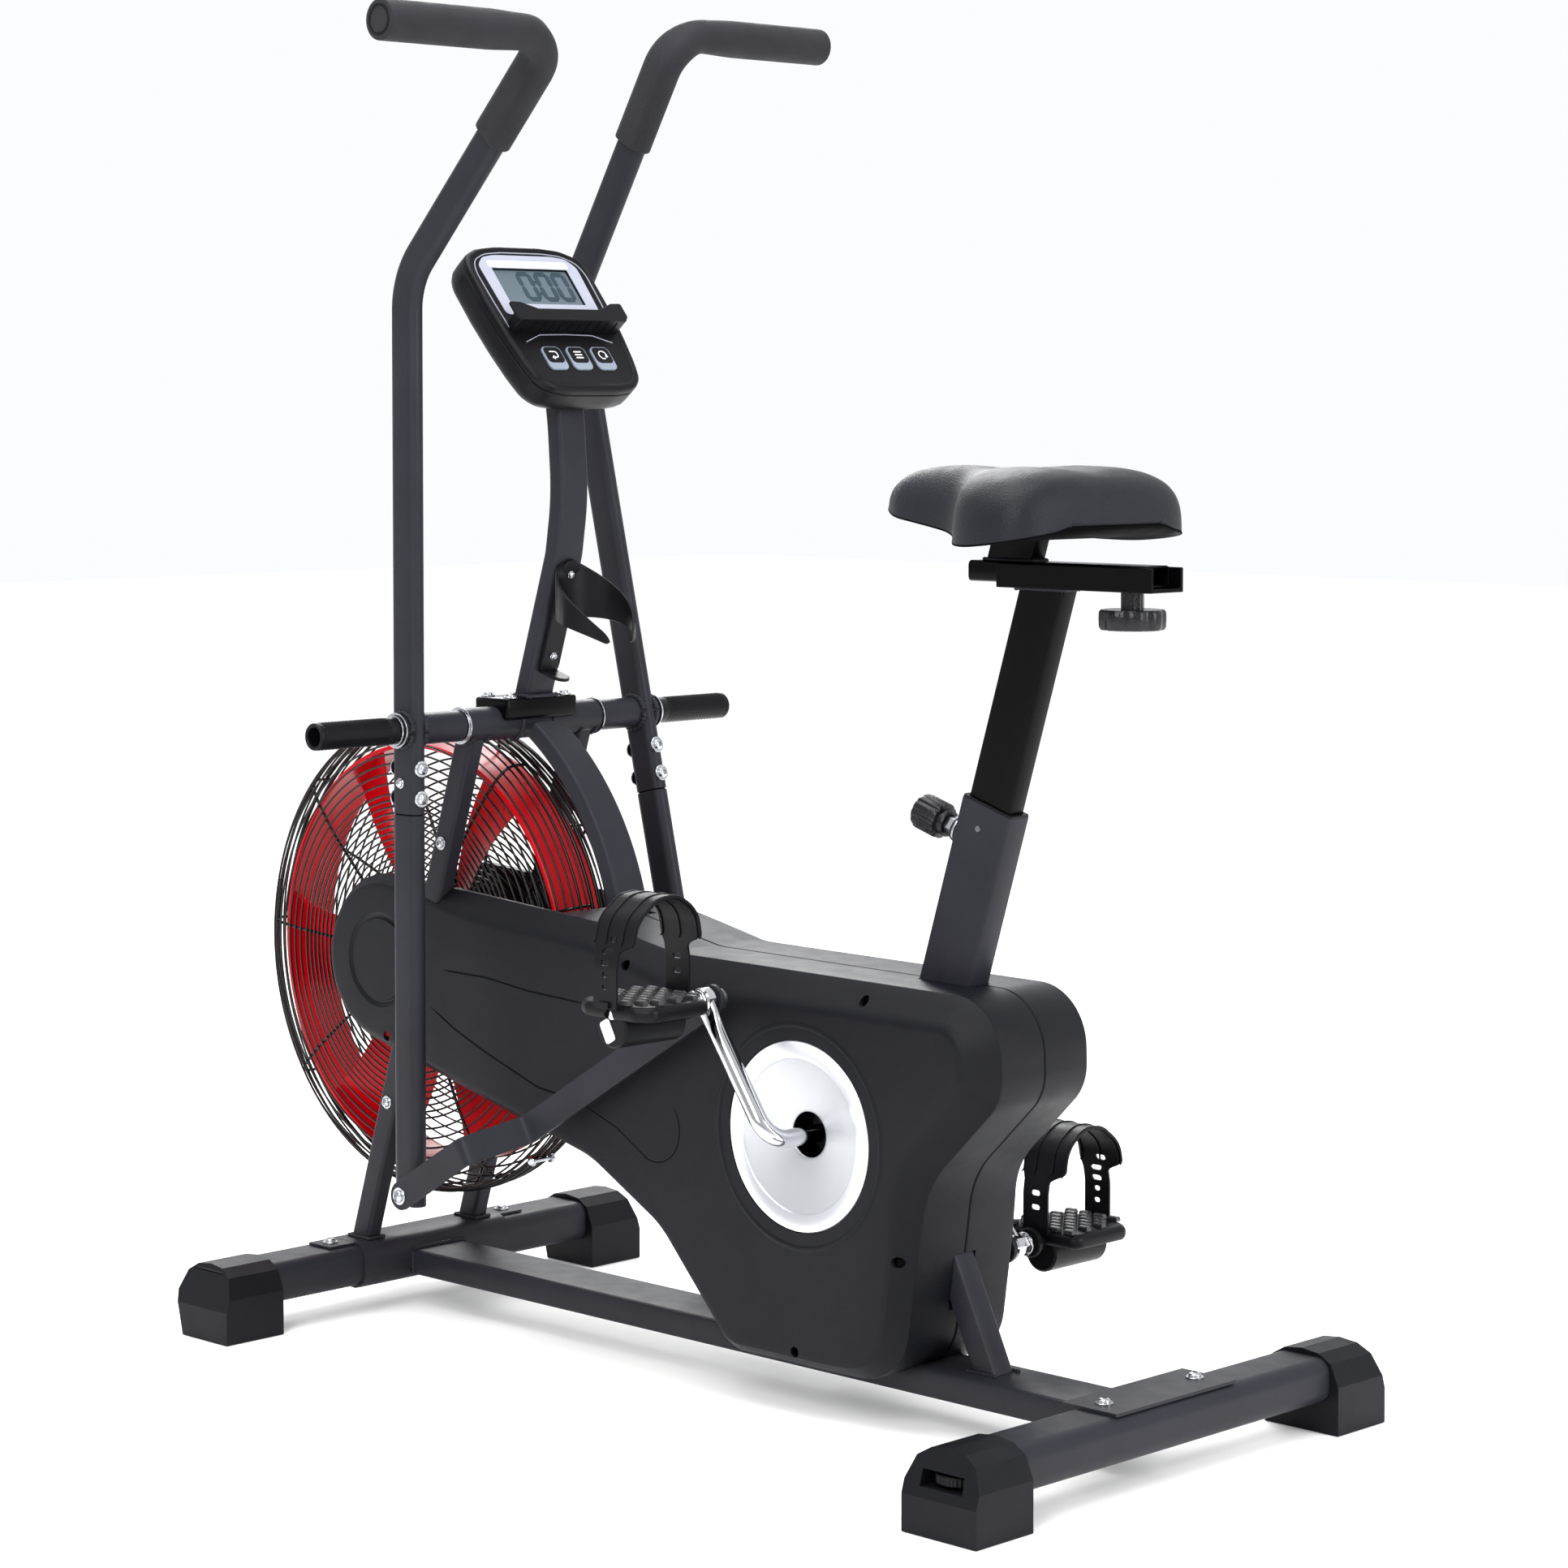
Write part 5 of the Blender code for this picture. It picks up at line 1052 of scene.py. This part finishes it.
def saddle():
    # Place along the bike, half width, top height and bottom height at stations from nose to tail.
    stations = mm(
        (269, 5, 844, 837), (272.5, 14, 850.5, 832.5), (282, 24, 858, 828), (300, 34.5, 866, 824),
        (325, 40, 870, 820.5), (350, 44.5, 871.5, 817), (374, 51, 870.8, 813.5), (395, 65, 870, 810),
        (414, 86, 870.6, 806.5), (433, 106, 871.4, 804.5), (453, 116.5, 872, 804), (475, 119.8, 871.6, 805.5),
        (496, 118, 869.6, 808), (511, 110, 865, 810.5), (520.5, 96.5, 858.5, 813), (526, 80, 851, 815.5),
        (528, 64, 843, 820))
    across, along = 56, 96
    rings, pan_rings = [], []
    for i in range(along + 1):
        x, half, top, low = between(stations, i / along)
        broad = smooth((half - 0.035) / 0.07)
        bend_y, bend_z = 0.95 - 0.42 * broad, 0.92 - 0.26 * broad
        ring = []
        for j in range(across + 1):
            a = math.pi * j / across
            c, s = math.cos(a), math.sin(a)
            y = half * math.copysign(abs(c) ** bend_y, c)
            z = low + (top - low) * abs(s) ** bend_z
            dip = 0.0034 * math.exp(-((y / 0.02) ** 2)) * smooth((x - 0.37) / 0.05) * smooth((0.52 - x) / 0.03)
            fold = 0.00045 * noise.noise(Vector((x * 60, y * 34, z * 90))) * smooth((half - 0.05) / 0.05)
            ring.append((x, y, z - dip * s + fold * s))
        # The cover turns under the edge and rises a little inside it.
        lip = min(0.003, half * 0.2)
        edge = half - lip
        ring += [(x, -edge, low + 0.0002), (x, -edge * 0.985, low + 0.0046), (x, edge * 0.985, low + 0.0046),
                 (x, edge, low + 0.0002)]
        rings.append(ring)
        if 4 <= i <= along - 4:
            inner = half - 2.2 * lip
            pan_rings.append([(x, u * inner, low + h) for u, h in
                              ((-1, 0.0028), (1, 0.0028), (1, 0.006), (-1, 0.006))])
    made = piece("saddle_cushion", solid(rings), COVER, "saddle_carriage", "saddle", angle=75)
    # The pan under the saddle and the piping round its lower edge take the darker black that paints the shade under
    # the saddle.
    piece("saddle_pan", solid(pan_rings), SHADE_BLACK, "saddle_carriage", bevel=0.0005)
    right = [(x, half - 0.0008, low + 0.0006) for x, half, _, low in
             (between(stations, i / along) for i in range(1, along))]
    loop = right + [(x, -y, z) for x, y, z in reversed(right)]
    piping = solid(swept(loop, (0, 0, 1), circle(0.0011, 8), closed=True), closed=True)
    piece("saddle_piping", piping, SHADE_BLACK, "saddle_carriage", angle=60)
    clamp = plate([bar(0.09, 0.052, 0.008, 6)], 0, 0.003, place((0.423, 0, 0.8128)))
    piece("saddle_mount_plate", clamp, BLACK, "saddle_carriage", bevel=0.0008, segments=3)


for label, hand in SIDES:
    pedal(label, hand)
saddle()


# ---------------------------------------------------------------- console
CONSOLE_TOP, CONSOLE_LOW = Vector((-0.2492, 0, 1.0839)), Vector((-0.1315, 0, 0.9396))
CONSOLE_HALF = (CONSOLE_LOW - CONSOLE_TOP).length / 2
# Positions down the console's face, in its own frame, and the spacing of the buttons across it.
SCREEN_X, BUTTON_X, BUTTON_PITCH = -0.0395, 0.0531, 0.0323
POST_LINE = [(-0.2264, 0.6338), (-0.1805, 0.7765), (-0.1715, 0.835), (-0.1765, 0.905), (-0.1845, 0.96)]


def mirrored(half):
    """One half of an outline followed by its other, mirrored in y."""
    return half + [(x, -y) for x, y in reversed(half)]


def console_frame():
    """The console's own frame: X down its face, Z out of it."""
    down = (CONSOLE_LOW - CONSOLE_TOP).normalized()
    return place((CONSOLE_TOP + CONSOLE_LOW) / 2, turn_y(math.atan2(-down.z, down.x)))


def console_rim(grow):
    """The console's outline, from its arched top to its narrower foot."""
    upper = [(-CONSOLE_HALF, -0.03), *mm((-89.5, -56), (-80, -74.5), (-64, -81.2), (-20, -82), (20, -79.8),
                                           (56, -74.8), (78, -69), (89.5, -57)), (CONSOLE_HALF, -0.034)]
    bends = [0.1, 0.04, 0.02, 0.04, 0.15, 0.2, 0.15, 0.025, 0.025, 0.1]
    centre = Vector((0.005, 0))
    made = []
    for p in filleted(mirrored(upper), bends + bends[::-1], 5, closed=True):
        away = Vector(p) - centre
        made.append(tuple(centre + away * (1 + grow / away.length)))
    return made


def stroke_section(u, v):
    return [(u, v), (-u, v), (-u, -v), (u, -v)]


def rim_highlight_and_arch_lines():
    """A painted highlight line round the face, standing for its chamfered edge, open at the foot, and the arch over
    the buttons.
    """
    rim_highlight = [(x, y, -0.0008) for x, y in console_rim(-0.0105) if x < 0.014]
    # The path starts at the widest gap between its points, which is the open foot.
    split = max(range(len(rim_highlight)), key=lambda i: abs(rim_highlight[i][1] - rim_highlight[i - 1][1]) if rim_highlight[i][0] > 0 else 0)
    arch_line = mm((32.4, -57.5), (23.2, -35), (22.3, 0), (23.2, 35), (32.4, 57.5))
    arch_line = [(x, y, -0.001) for x, y in filleted(arch_line, [0, 0.01, 0.05, 0.01, 0], 6)]
    lines = bmesh.new()
    for path in (dense(rim_highlight[split:] + rim_highlight[:split], 0.004), arch_line):
        skin(lines, swept(path, (0, 0, 1), stroke_section(0.00045, 0.0004)))
    return lines


def console():
    at = console_frame()

    def on_face(x=0, y=0, turn=Matrix.Identity(4)):
        return at @ place((x, y, 0), turn)

    def layered(*rows):
        shape = solid([[(x, y, z) for x, y in console_rim(grow)] for grow, z in mm(*rows)])
        shape.transform(at)
        return shape

    back = layered((-16, -38.3), (-8, -37.4), (-3, -34), (-0.5, -28), (0, -20), (0, -11), (-0.8, -10), (-3, -9.8))
    foot, tip = (Vector((x, 0, z)) for x, z in POST_LINE[-2:])
    socket = box_shape((0.0201, 0.0376, 0.08),
                       place(tip.lerp(foot, 0.716), turn_y(math.atan2(tip.x - foot.x, tip.z - foot.z))))
    piece("console_shell", carved(back, socket), BLACK, "frame", "console_back", bevel=0.0006)
    front = layered((-3, -9.6), (-0.8, -9.4), (0, -8.4), (0, -5), (-0.8, -2.2), (-2.8, -0.6), (-4.8, 0),
                    (-6.8, -0.3), (-8, -1), (-9.2, -1.2))
    window = plate([bar(0.0458, 0.1, 0.0012, 3)], -0.006, 0.01, on_face(SCREEN_X))
    pockets = [plate([bar(0.03, 0.026, 0.0066, 6)], -0.02, 0.01, on_face(BUTTON_X, i * BUTTON_PITCH))
               for i in (-1, 0, 1)]
    piece("console_face", carved(front, window, *pockets), BLACK, "frame", "console_front")

    screen = plate([bar(0.0454, 0.0996, 0.0011, 3)], -0.0046, -0.0032, on_face(SCREEN_X))
    piece("console_screen", screen, LCD, "frame", "display_window")
    bends = [0.05, 0.014, 0.012, 0.006]
    surround = filleted(mirrored(mm((-79.5, -38), (-76.5, -55), (-66, -65.5), (-2, -63))), bends + bends[::-1], 6,
                        closed=True)
    opening = [(x + SCREEN_X, y) for x, y in bar(0.0462, 0.1004, 0.0012, 3)]
    piece("console_bezel", plate([surround, opening[::-1]], -0.0013, -0.0002, at), SILVER_PRINT_AND_HIGHLIGHT, "frame", bevel=0.0003)
    piece("console_band", plate([bar(0.0084, 0.106, 0.003, 4)], -0.001, 0.0, on_face(-0.0674)), WHITE, "frame")
    # The line round the face is a painted highlight for the face's chamfered edge; the arch over the buttons is
    # print.
    lines = rim_highlight_and_arch_lines()
    lines.transform(at)
    piece("console_rim_highlight_and_arch_lines", lines, SILVER_PRINT_AND_HIGHLIGHT, "frame")

    # Each digit shows its six outer bars, a nought; place across and along the digit in half sizes.
    bars = ((-1, 0), (-0.5, 1), (0.5, 1), (1, 0), (0.5, -1), (-0.5, -1))
    segments = bmesh.new()
    tall, wide, stroke = 0.0325, 0.015, 0.0056
    for y in (-0.011, 0.0125, 0.035):
        for u, v in bars:
            level = v == 0
            outline = stadium((wide if level else tall / 2) - 0.0006, stroke, 4)
            turn = Matrix.Rotation(math.pi / 2 if level else 0, 4, "Z")
            slab(segments, [outline], -0.0031, -0.0029,
                 on_face(SCREEN_X - 0.002 + u * tall / 2, y + v * wide / 2, turn))
    for x in (-0.008, 0.007):
        slab(segments, [bar(0.003, 0.0024, 0.0004, 2)], -0.0031, -0.0029, on_face(SCREEN_X + x, 0.0008))
    piece("console_digits", segments, DIGITS, "frame")

    rest = plate([bar(0.0125, 0.14, 0.001, 3)], -0.0008, 0.019, on_face(0.0138))
    for i in range(11):
        y = -0.06 + 0.012 * i
        skin(rest, [[(0.0201 + x, y + v, z) for x, v in
                     ((0.0006, -0.0005), (0.0006, 0.0005), (-0.0006, 0.0005), (-0.0006, -0.0005))]
                    for z in (0.0006, 0.016)], matrix=at)
    piece("console_phone_rest", rest, BLACK, "frame", "phone_rest", bevel=0.0006)
    lip = mirrored(mm((20.5, 69), (15, 74), (-1.2, 74), (-2.5, 72.2), (-2, 60), (6.1, 41)))
    piece("console_phone_lip", plate([lip], 0.0166, 0.0194, at), BLACK, "frame", bevel=0.0006)

    for name, i in (("left", -1), ("middle", 0), ("right", 1)):
        body = name + "_button"
        centre = on_face(BUTTON_X, i * BUTTON_PITCH)
        cap = plate([bar(0.0288, 0.0248, 0.006, 6)], -0.0046, 0.0004, centre)
        piece(body + "_cap", cap, PLATE, body, body, bevel=0.0006)
        pad_at = centre @ place((-0.0034, 0, 0))
        pad = plate([bar(0.0192, 0.0216, 0.005, 6)], 0.0002, 0.0009, pad_at)
        piece(body + "_pad", pad, BLACK, body, bevel=0.0002)
        sign, mark = bmesh.new(), pad_at @ Matrix.Scale(1.15, 4)
        if name == "middle":
            for x in (-0.0032, 0, 0.0032):
                slab(sign, [bar(0.0012, 0.0082, 0.0003, 2)], 0.0008, 0.0011, mark @ place((x, 0, 0)))
        else:
            if name == "left":
                line = filleted(mm((-3.2, -4.2), (-3.2, 3.6), (3, 3.6), (3, -1.2)), [0, 0.002, 0.002, 0], 5)
                tip = mm((0.8, -1), (5.2, -1), (3, -3.6))
            else:
                line = arc((0, 0), 0.0042, 70, 375, 24)
                tip = mm((-0.2, 3), (3, 2.4), (1.8, 5.6))
            rings = swept([(x, y, 0.001) for x, y in line], (1, 0, 0), stroke_section(0.00042, 0.00015))
            skin(sign, rings, matrix=mark)
            slab(sign, [tip], 0.0008, 0.0011, mark)
        piece(body + "_sign", sign, WHITE, body)


# ---------------------------------------------------------------- frame tubes and base
def tube_along(name, path, section, node, cutters):
    return piece(name, carved(solid(swept(path, (1, 0, 0), section)), *cutters), COAT, "frame", node)


def loop_weld(name, body, centre, long, wide, radius, seed):
    """A weld round the rectangular foot of a tube."""
    ring = [Vector(centre) + Vector((u * long, v * wide, 0)) for u, v in (*SQUARE, SQUARE[0])]
    weld(name, body, ring, radius, seed)


def post_and_holder():
    path = dense([(x, 0, z) for x, z in filleted(POST_LINE, [0, 0.08, 0.25, 0.25, 0], 14)], 0.02)
    floor = box_shape((0.1, 0.1, 0.1), place((-0.226, 0, 0.6338 - 0.05)))
    tube_along("post_tube", path, bar(0.0195, 0.037, 0.0045, 8), "console_post", [floor])
    refined("post_bracket", 0.0022)
    spots = [((-0.237 + 0.0165 * i, 0.036 * j, 0.6336), (0, 0, 1)) for i in (-1, 1) for j in (-1, 1)]
    bolts("post_bracket_bolts", "frame", spots, 0.0046, 1.5)
    loop_weld("post_weld", "frame", (-0.2254, 0, 0.6346), 0.0125, 0.02, 0.0022, 3)

    low, high = (Vector((x, 0, z)) for x, z in POST_LINE[:2])
    along = (high - low).normalized()
    normal = Vector((along.z, 0, -along.x))
    lean = turn_y(math.atan2(along.x, along.z))
    middle = low + along * 0.088 + normal * (0.00975 + 0.0003 + 0.0028)
    strip = plate([stadium(0.122, 0.024, 12)], -0.0026, 0.0026, place(middle, lean @ turn_y(math.pi / 2)))
    piece("holder_strip", strip, BLACK, "frame", bevel=0.001, segments=3)
    # The arms' section: inset in metres, height as a share of half the band's height.
    section = ((0, -1), (0.0009, -1.02), (0.0021, -1.02), (0.003, -0.97), (0.003, 0.97), (0.0021, 1.02),
               (0.0009, 1.02), (0, 1))
    rings = []
    centre_x, radius, steps = -0.1345, 0.0365, 96
    for i in range(steps + 1):
        t = abs(2 * i / steps - 1)
        angle = math.pi + (2 * i / steps - 1) * math.radians(158)
        top = 0.772 - 0.074 * t**1.3
        drop = 0.046 * (1 - t) ** 1.2 + 0.008 + 0.006 * math.sqrt(max(0.0, 1 - t))
        close = math.sqrt(max(1 - max(0.0, (t - 0.94) / 0.06) ** 2, 0.02))
        middle_z, rise = top - drop / 2, drop / 2 * close
        rings.append([(centre_x + (radius + r) * math.cos(angle), (radius + r) * math.sin(angle),
                       middle_z + rise * z) for r, z in section])
    piece("holder_arms", solid(rings), BLACK, "frame", "bottle_holder", angle=50)
    toe = low + along * 0.03 + Vector((1, 0, -0.25)) * 0.0215
    piece("holder_toe", plate([stadium(0.038, 0.02, 10)], -0.0017, 0.0017, place(toe, turn_y(0.3))), BLACK, "frame",
          bevel=0.0006, segments=3)
    bolts("holder_screws", "frame", [(middle + along * d + normal * 0.0024, normal) for d in (-0.04, 0.046)],
          0.0034, 1.2)


def fan_struts():
    for name, side in SIDES:
        shift = Vector((0, side * STRUT_Y, 0))
        low, high = STRUT_FOOT + Vector((0, side * STRUT_Y, 0.0002)), PIVOT + shift
        bore = disc_shape(0.0172, -0.1, 0.1, place(PIVOT, ALONG_Y), 48)
        flat = box_shape((0.2, 0.2, 0.1), place(STRUT_FOOT - Vector((0, 0, 0.05))))
        tube_along(name + "_strut_tube", [low.lerp(high, -0.03), high], bar(0.025, 0.0185, 0.004, 8),
                   name + "_fan_strut", [bore, flat])

        def at_height(z):
            return low.lerp(high, (z - STRUT_FOOT.z) / (PIVOT.z - STRUT_FOOT.z))

        root = at_height(FAN.z)
        outline = arc((FAN.x, FAN.z), 0.022, 100, 280, 28)
        outline += [(root.x, FAN.z - 0.05), (root.x + 0.01, FAN.z + 0.045)]
        hole = disc_shape(0.0063, -0.1, 0.1, place(FAN, ALONG_Y), 32)
        piece(name + "_axle_plate", carved(plate([outline], -0.0025, 0.0025, place(shift, ALONG_Y)), hole), COAT,
              "frame", bevel=0.0008, segments=3)
        spots = [(at_height(z) + Vector((0, side * 0.00925, 0)), (0, side, 0)) for z in (0.217, 0.488)]
        bolts(name + "_strut_bolts", "frame", spots, 0.0048, 1.4)
        loop_weld(name + "_strut_foot_weld", "frame", (STRUT_FOOT.x, side * STRUT_Y, 0.0726), 0.0155, 0.01, 0.002,
                  11 + side)
        slope = high - low
        turn = turn_y(math.atan2(slope.x, slope.z))
        top_ring = [high + turn @ Vector((x, 0, z)) for x, z in arc((0, 0), COLLAR_WELD, 200, 340, 12)]
        for edge in (-1, 1):
            weld(f"{name}_strut_top_weld_{edge + 2}", "frame", [p + Vector((0, edge * 0.01, 0)) for p in top_ring],
                 0.002, 20 + side + edge)
    shaft = disc_shape(0.0059, -0.079, 0.079, place(FAN, ALONG_Y), 28)
    for side in (-1, 1):
        turned(shaft, mm((9.5, 60), (9.5, 67.5), (6.1, 67.5), (6.1, 60)), 6, centred(FAN, side))
    piece("fan_shaft", shaft, STEEL, "frame", "fan_axle", bevel=0.0004)


def arch():
    top = arc((FAN.x, FAN.z), 0.2885, 56, 8, 48)
    line = top + filleted([top[-1], (-0.079, 0.35), (CRANK.x - 0.028, CRANK.z)], 0.05, 10)[1:]
    cutters = [disc_shape(radius, -0.1, 0.1, place(at, ALONG_Y), 48) for radius, at in
               ((0.0173, PIVOT), (0.0278, CRANK))]
    tube_along("arch", [(x, 0, z) for x, z in line], bar(0.02, 0.04, 0.0045, 8), "arch_tube", cutters)
    bead = [PIVOT + Vector((x, 0, z)) for x, z in arc((0, 0), COLLAR_WELD, -95, 31, 14)]
    for side in (-1, 1):
        weld(f"arch_weld_{side + 2}", "frame", [p + Vector((0, side * 0.0205, 0)) for p in bead], 0.0022, 31 + side)


def seat_frame():
    for node, bevel in (("seat_tube", 0.0014), ("seat_post", 0.001), ("slide_rail", 0.001),
                        ("saddle_slider", 0.0012), ("main_beam", 0.0018)):
        refined(node, bevel)
    for name, centre, body, seed in (("stem_weld", (0.4118, 0, 0.788), "saddle_carriage", 41),
                                     ("rail_weld", (0.449, 0, 0.764), "seat_column", 42)):
        loop_weld(name, body, centre, 0.0262 / math.cos(SEAT_TILT), 0.0104, 0.0021, seed)
    top = SEAT_FOOT + SEAT_UP * 0.53
    outer, inner = bar(0.0596, 0.0266, 0.0036, 6), bar(0.0508, 0.0208, 0.0022, 4)
    liner = plate([outer, inner[::-1]], -0.0004, 0.0022, place(top, SEAT_TURN))
    piece("seat_tube_liner", liner, BLACK, "frame", bevel=0.0005)
    screw = lathe(mm((2.6, 1), (3, 0.4), (3, -1), (0, -1), (0, 1)), 20,
                  place(top + SEAT_TURN @ Vector((-0.003, -0.0135, -0.022)), facing((0, -1, 0))))
    piece("seat_tube_screw", screw, STEEL, "frame")
    for side in (-1, 1):
        bead = [(x, side * 0.015, 0.0572) for x in (0.37, 0.395, 0.406)]
        weld(f"brace_weld_{side + 2}", "frame", bead, 0.002, 51 + side)


def lobed(rows, steps, lobes, depth, power, matrix):
    """A knob's gripped body: rings of radius, height and how deep their flutes are, as a share of depth."""
    rings = []
    for radius, height, share in rows:
        ring = []
        for i in range(steps):
            a = 2 * math.pi * i / steps
            r = radius - depth * share * (0.5 - 0.5 * math.cos(lobes * a)) ** power
            ring.append((r * math.cos(a), r * math.sin(a), height))
        rings.append(ring)
    return solid(rings, matrix=matrix)


def knobs():
    at = place((0.5456, 0, 0.7642), facing((0, 0, -1)))
    rows = ((0.024, 0.0155, 0.4), (0.0275, 0.0152, 0.8), (0.0291, 0.0172, 1), (0.0294, 0.022, 1),
            (0.0291, 0.03, 1), (0.0276, 0.0326, 0.8), (0.024, 0.0333, 0.4))
    knob = lobed(rows, 160, 8, 0.0022, 2, at)
    ribs = []
    for i in range(60):
        a = 2 * math.pi * i / 60
        r = 0.01 + 0.0005 * math.cos(6 * a)
        ribs.append((r * math.cos(a), r * math.sin(a)))
    skin(knob, [[(x, y, z) for x, y in ribs] for z in (0.0006, 0.0158)], matrix=at)
    turned(knob, mm((4.6, -3), (4.6, 1), (0, 1), (0, -3)), 20, at)
    piece("slide_knob_body", knob, KNOB, "slide_knob", "slide_knob", angle=40)

    forward = Vector((-math.cos(SEAT_TILT), 0, math.sin(SEAT_TILT)))
    root = SEAT_FOOT + SEAT_UP * 0.494
    at = place(root + forward * 0.0465, facing(forward))
    rows = ((0.0118, 0.0002, 0), (0.0125, 0.0012, 0), (0.0125, 0.0066, 0), (0.016, 0.0074, 0.5),
            (0.0169, 0.0088, 1), (0.017, 0.032, 1), (0.0163, 0.0346, 0.6), (0.0146, 0.0358, 0.2))
    grip = lobed(rows, 144, 12, 0.0012, 3, at)
    turned(grip, mm((4.1, 0), (4.1, -20), (0, -20), (0, 0)), 20, at)
    piece("height_knob_body", grip, KNOB, "seat_height_knob", "seat_height_knob", angle=40)
    nut_at = place(root, facing(forward))
    nut = lathe(mm((9.6, 34), (10.4, 35), (10.4, 44), (9.6, 45), (4.9, 45), (4.9, 34)), 6, nut_at)
    turned(nut, mm((12.8, 31.2), (12.8, 33.4), (10.4, 33.8), (4.9, 33.8), (4.9, 31.2)), 40, nut_at)
    piece("height_pin_nut", nut, ZINC, "frame", bevel=0.0005)


def base():
    for node in ("front_left_foot", "front_right_foot", "rear_left_foot", "rear_right_foot"):
        refined(node, 0.0024, FOOT, angle=12)
    refined("front_cross_sleeve", 0.0008)
    for name, x, half in (("front", FRONT_X, 0.268), ("rear", REAR_X, 0.2285)):
        tube = plate([bar(0.062, 0.041, 0.014, 14), bar(0.058, 0.037, 0.012, 14)[::-1]], -half, half,
                     place((x, 0, 0.048), ALONG_Y))
        piece(name + "_stabiliser", tube, COAT, "frame", name + "_stabiliser_tube")
    teeth = 72
    for name, side in SIDES:
        wheel_at = place((REAR_X, side * 0.2515, 0.0475))
        rings = []
        for radius, height, tooth in ((0.019, -0.0045, 0), (0.0208, -0.004, 0.5), (0.0216, -0.0032, 1),
                                      (0.0216, 0.0032, 1), (0.0208, 0.004, 0.5), (0.019, 0.0045, 0)):
            rings.append([((radius - 0.0008 * tooth * (i % 2)) * c, (radius - 0.0008 * tooth * (i % 2)) * s, height)
                          for i, (c, s) in enumerate(circle(1, teeth))])
        wheel = solid(rings, matrix=wheel_at)
        turned(wheel, mm((4, -4), (4, -44), (0, -44), (0, -4)), 20, wheel_at)
        body = f"rear_{name}_levelling_wheel"
        piece(body + "_rim", wheel, BLACK, body, body, angle=30)
    bolts("rear_plate_bolts", "frame", [((REAR_X - 0.006, y, 0.0718), (0, 0, 1)) for y in (-0.062, 0.062)], 0.0058,
          1.4)
    bolts("front_tab_bolts", "frame", [((FRONT_X, y, 0.0712), (0, 0, 1)) for y in (-0.116, 0.116)], 0.0056, 1.4)
    for side in (-1, 1):
        bead = [(-0.3746, side * 0.0345, z) for z in (0.033, 0.044, 0.055)]
        weld(f"beam_weld_{side + 2}", "frame", bead, 0.0022, 61 + side)
    weld("beam_weld_top", "frame", [(-0.3742, y, 0.0574) for y in (-0.034, 0, 0.034)], 0.0024, 65)
    for node, bevel in (("chainring", 0.0003), ("drive_chain", 0.0006), ("fan_sprocket", 0.0003)):
        refined(node, bevel, STEEL)


console()
post_and_holder()
fan_struts()
arch()
seat_frame()
knobs()
base()


camera()
studio()
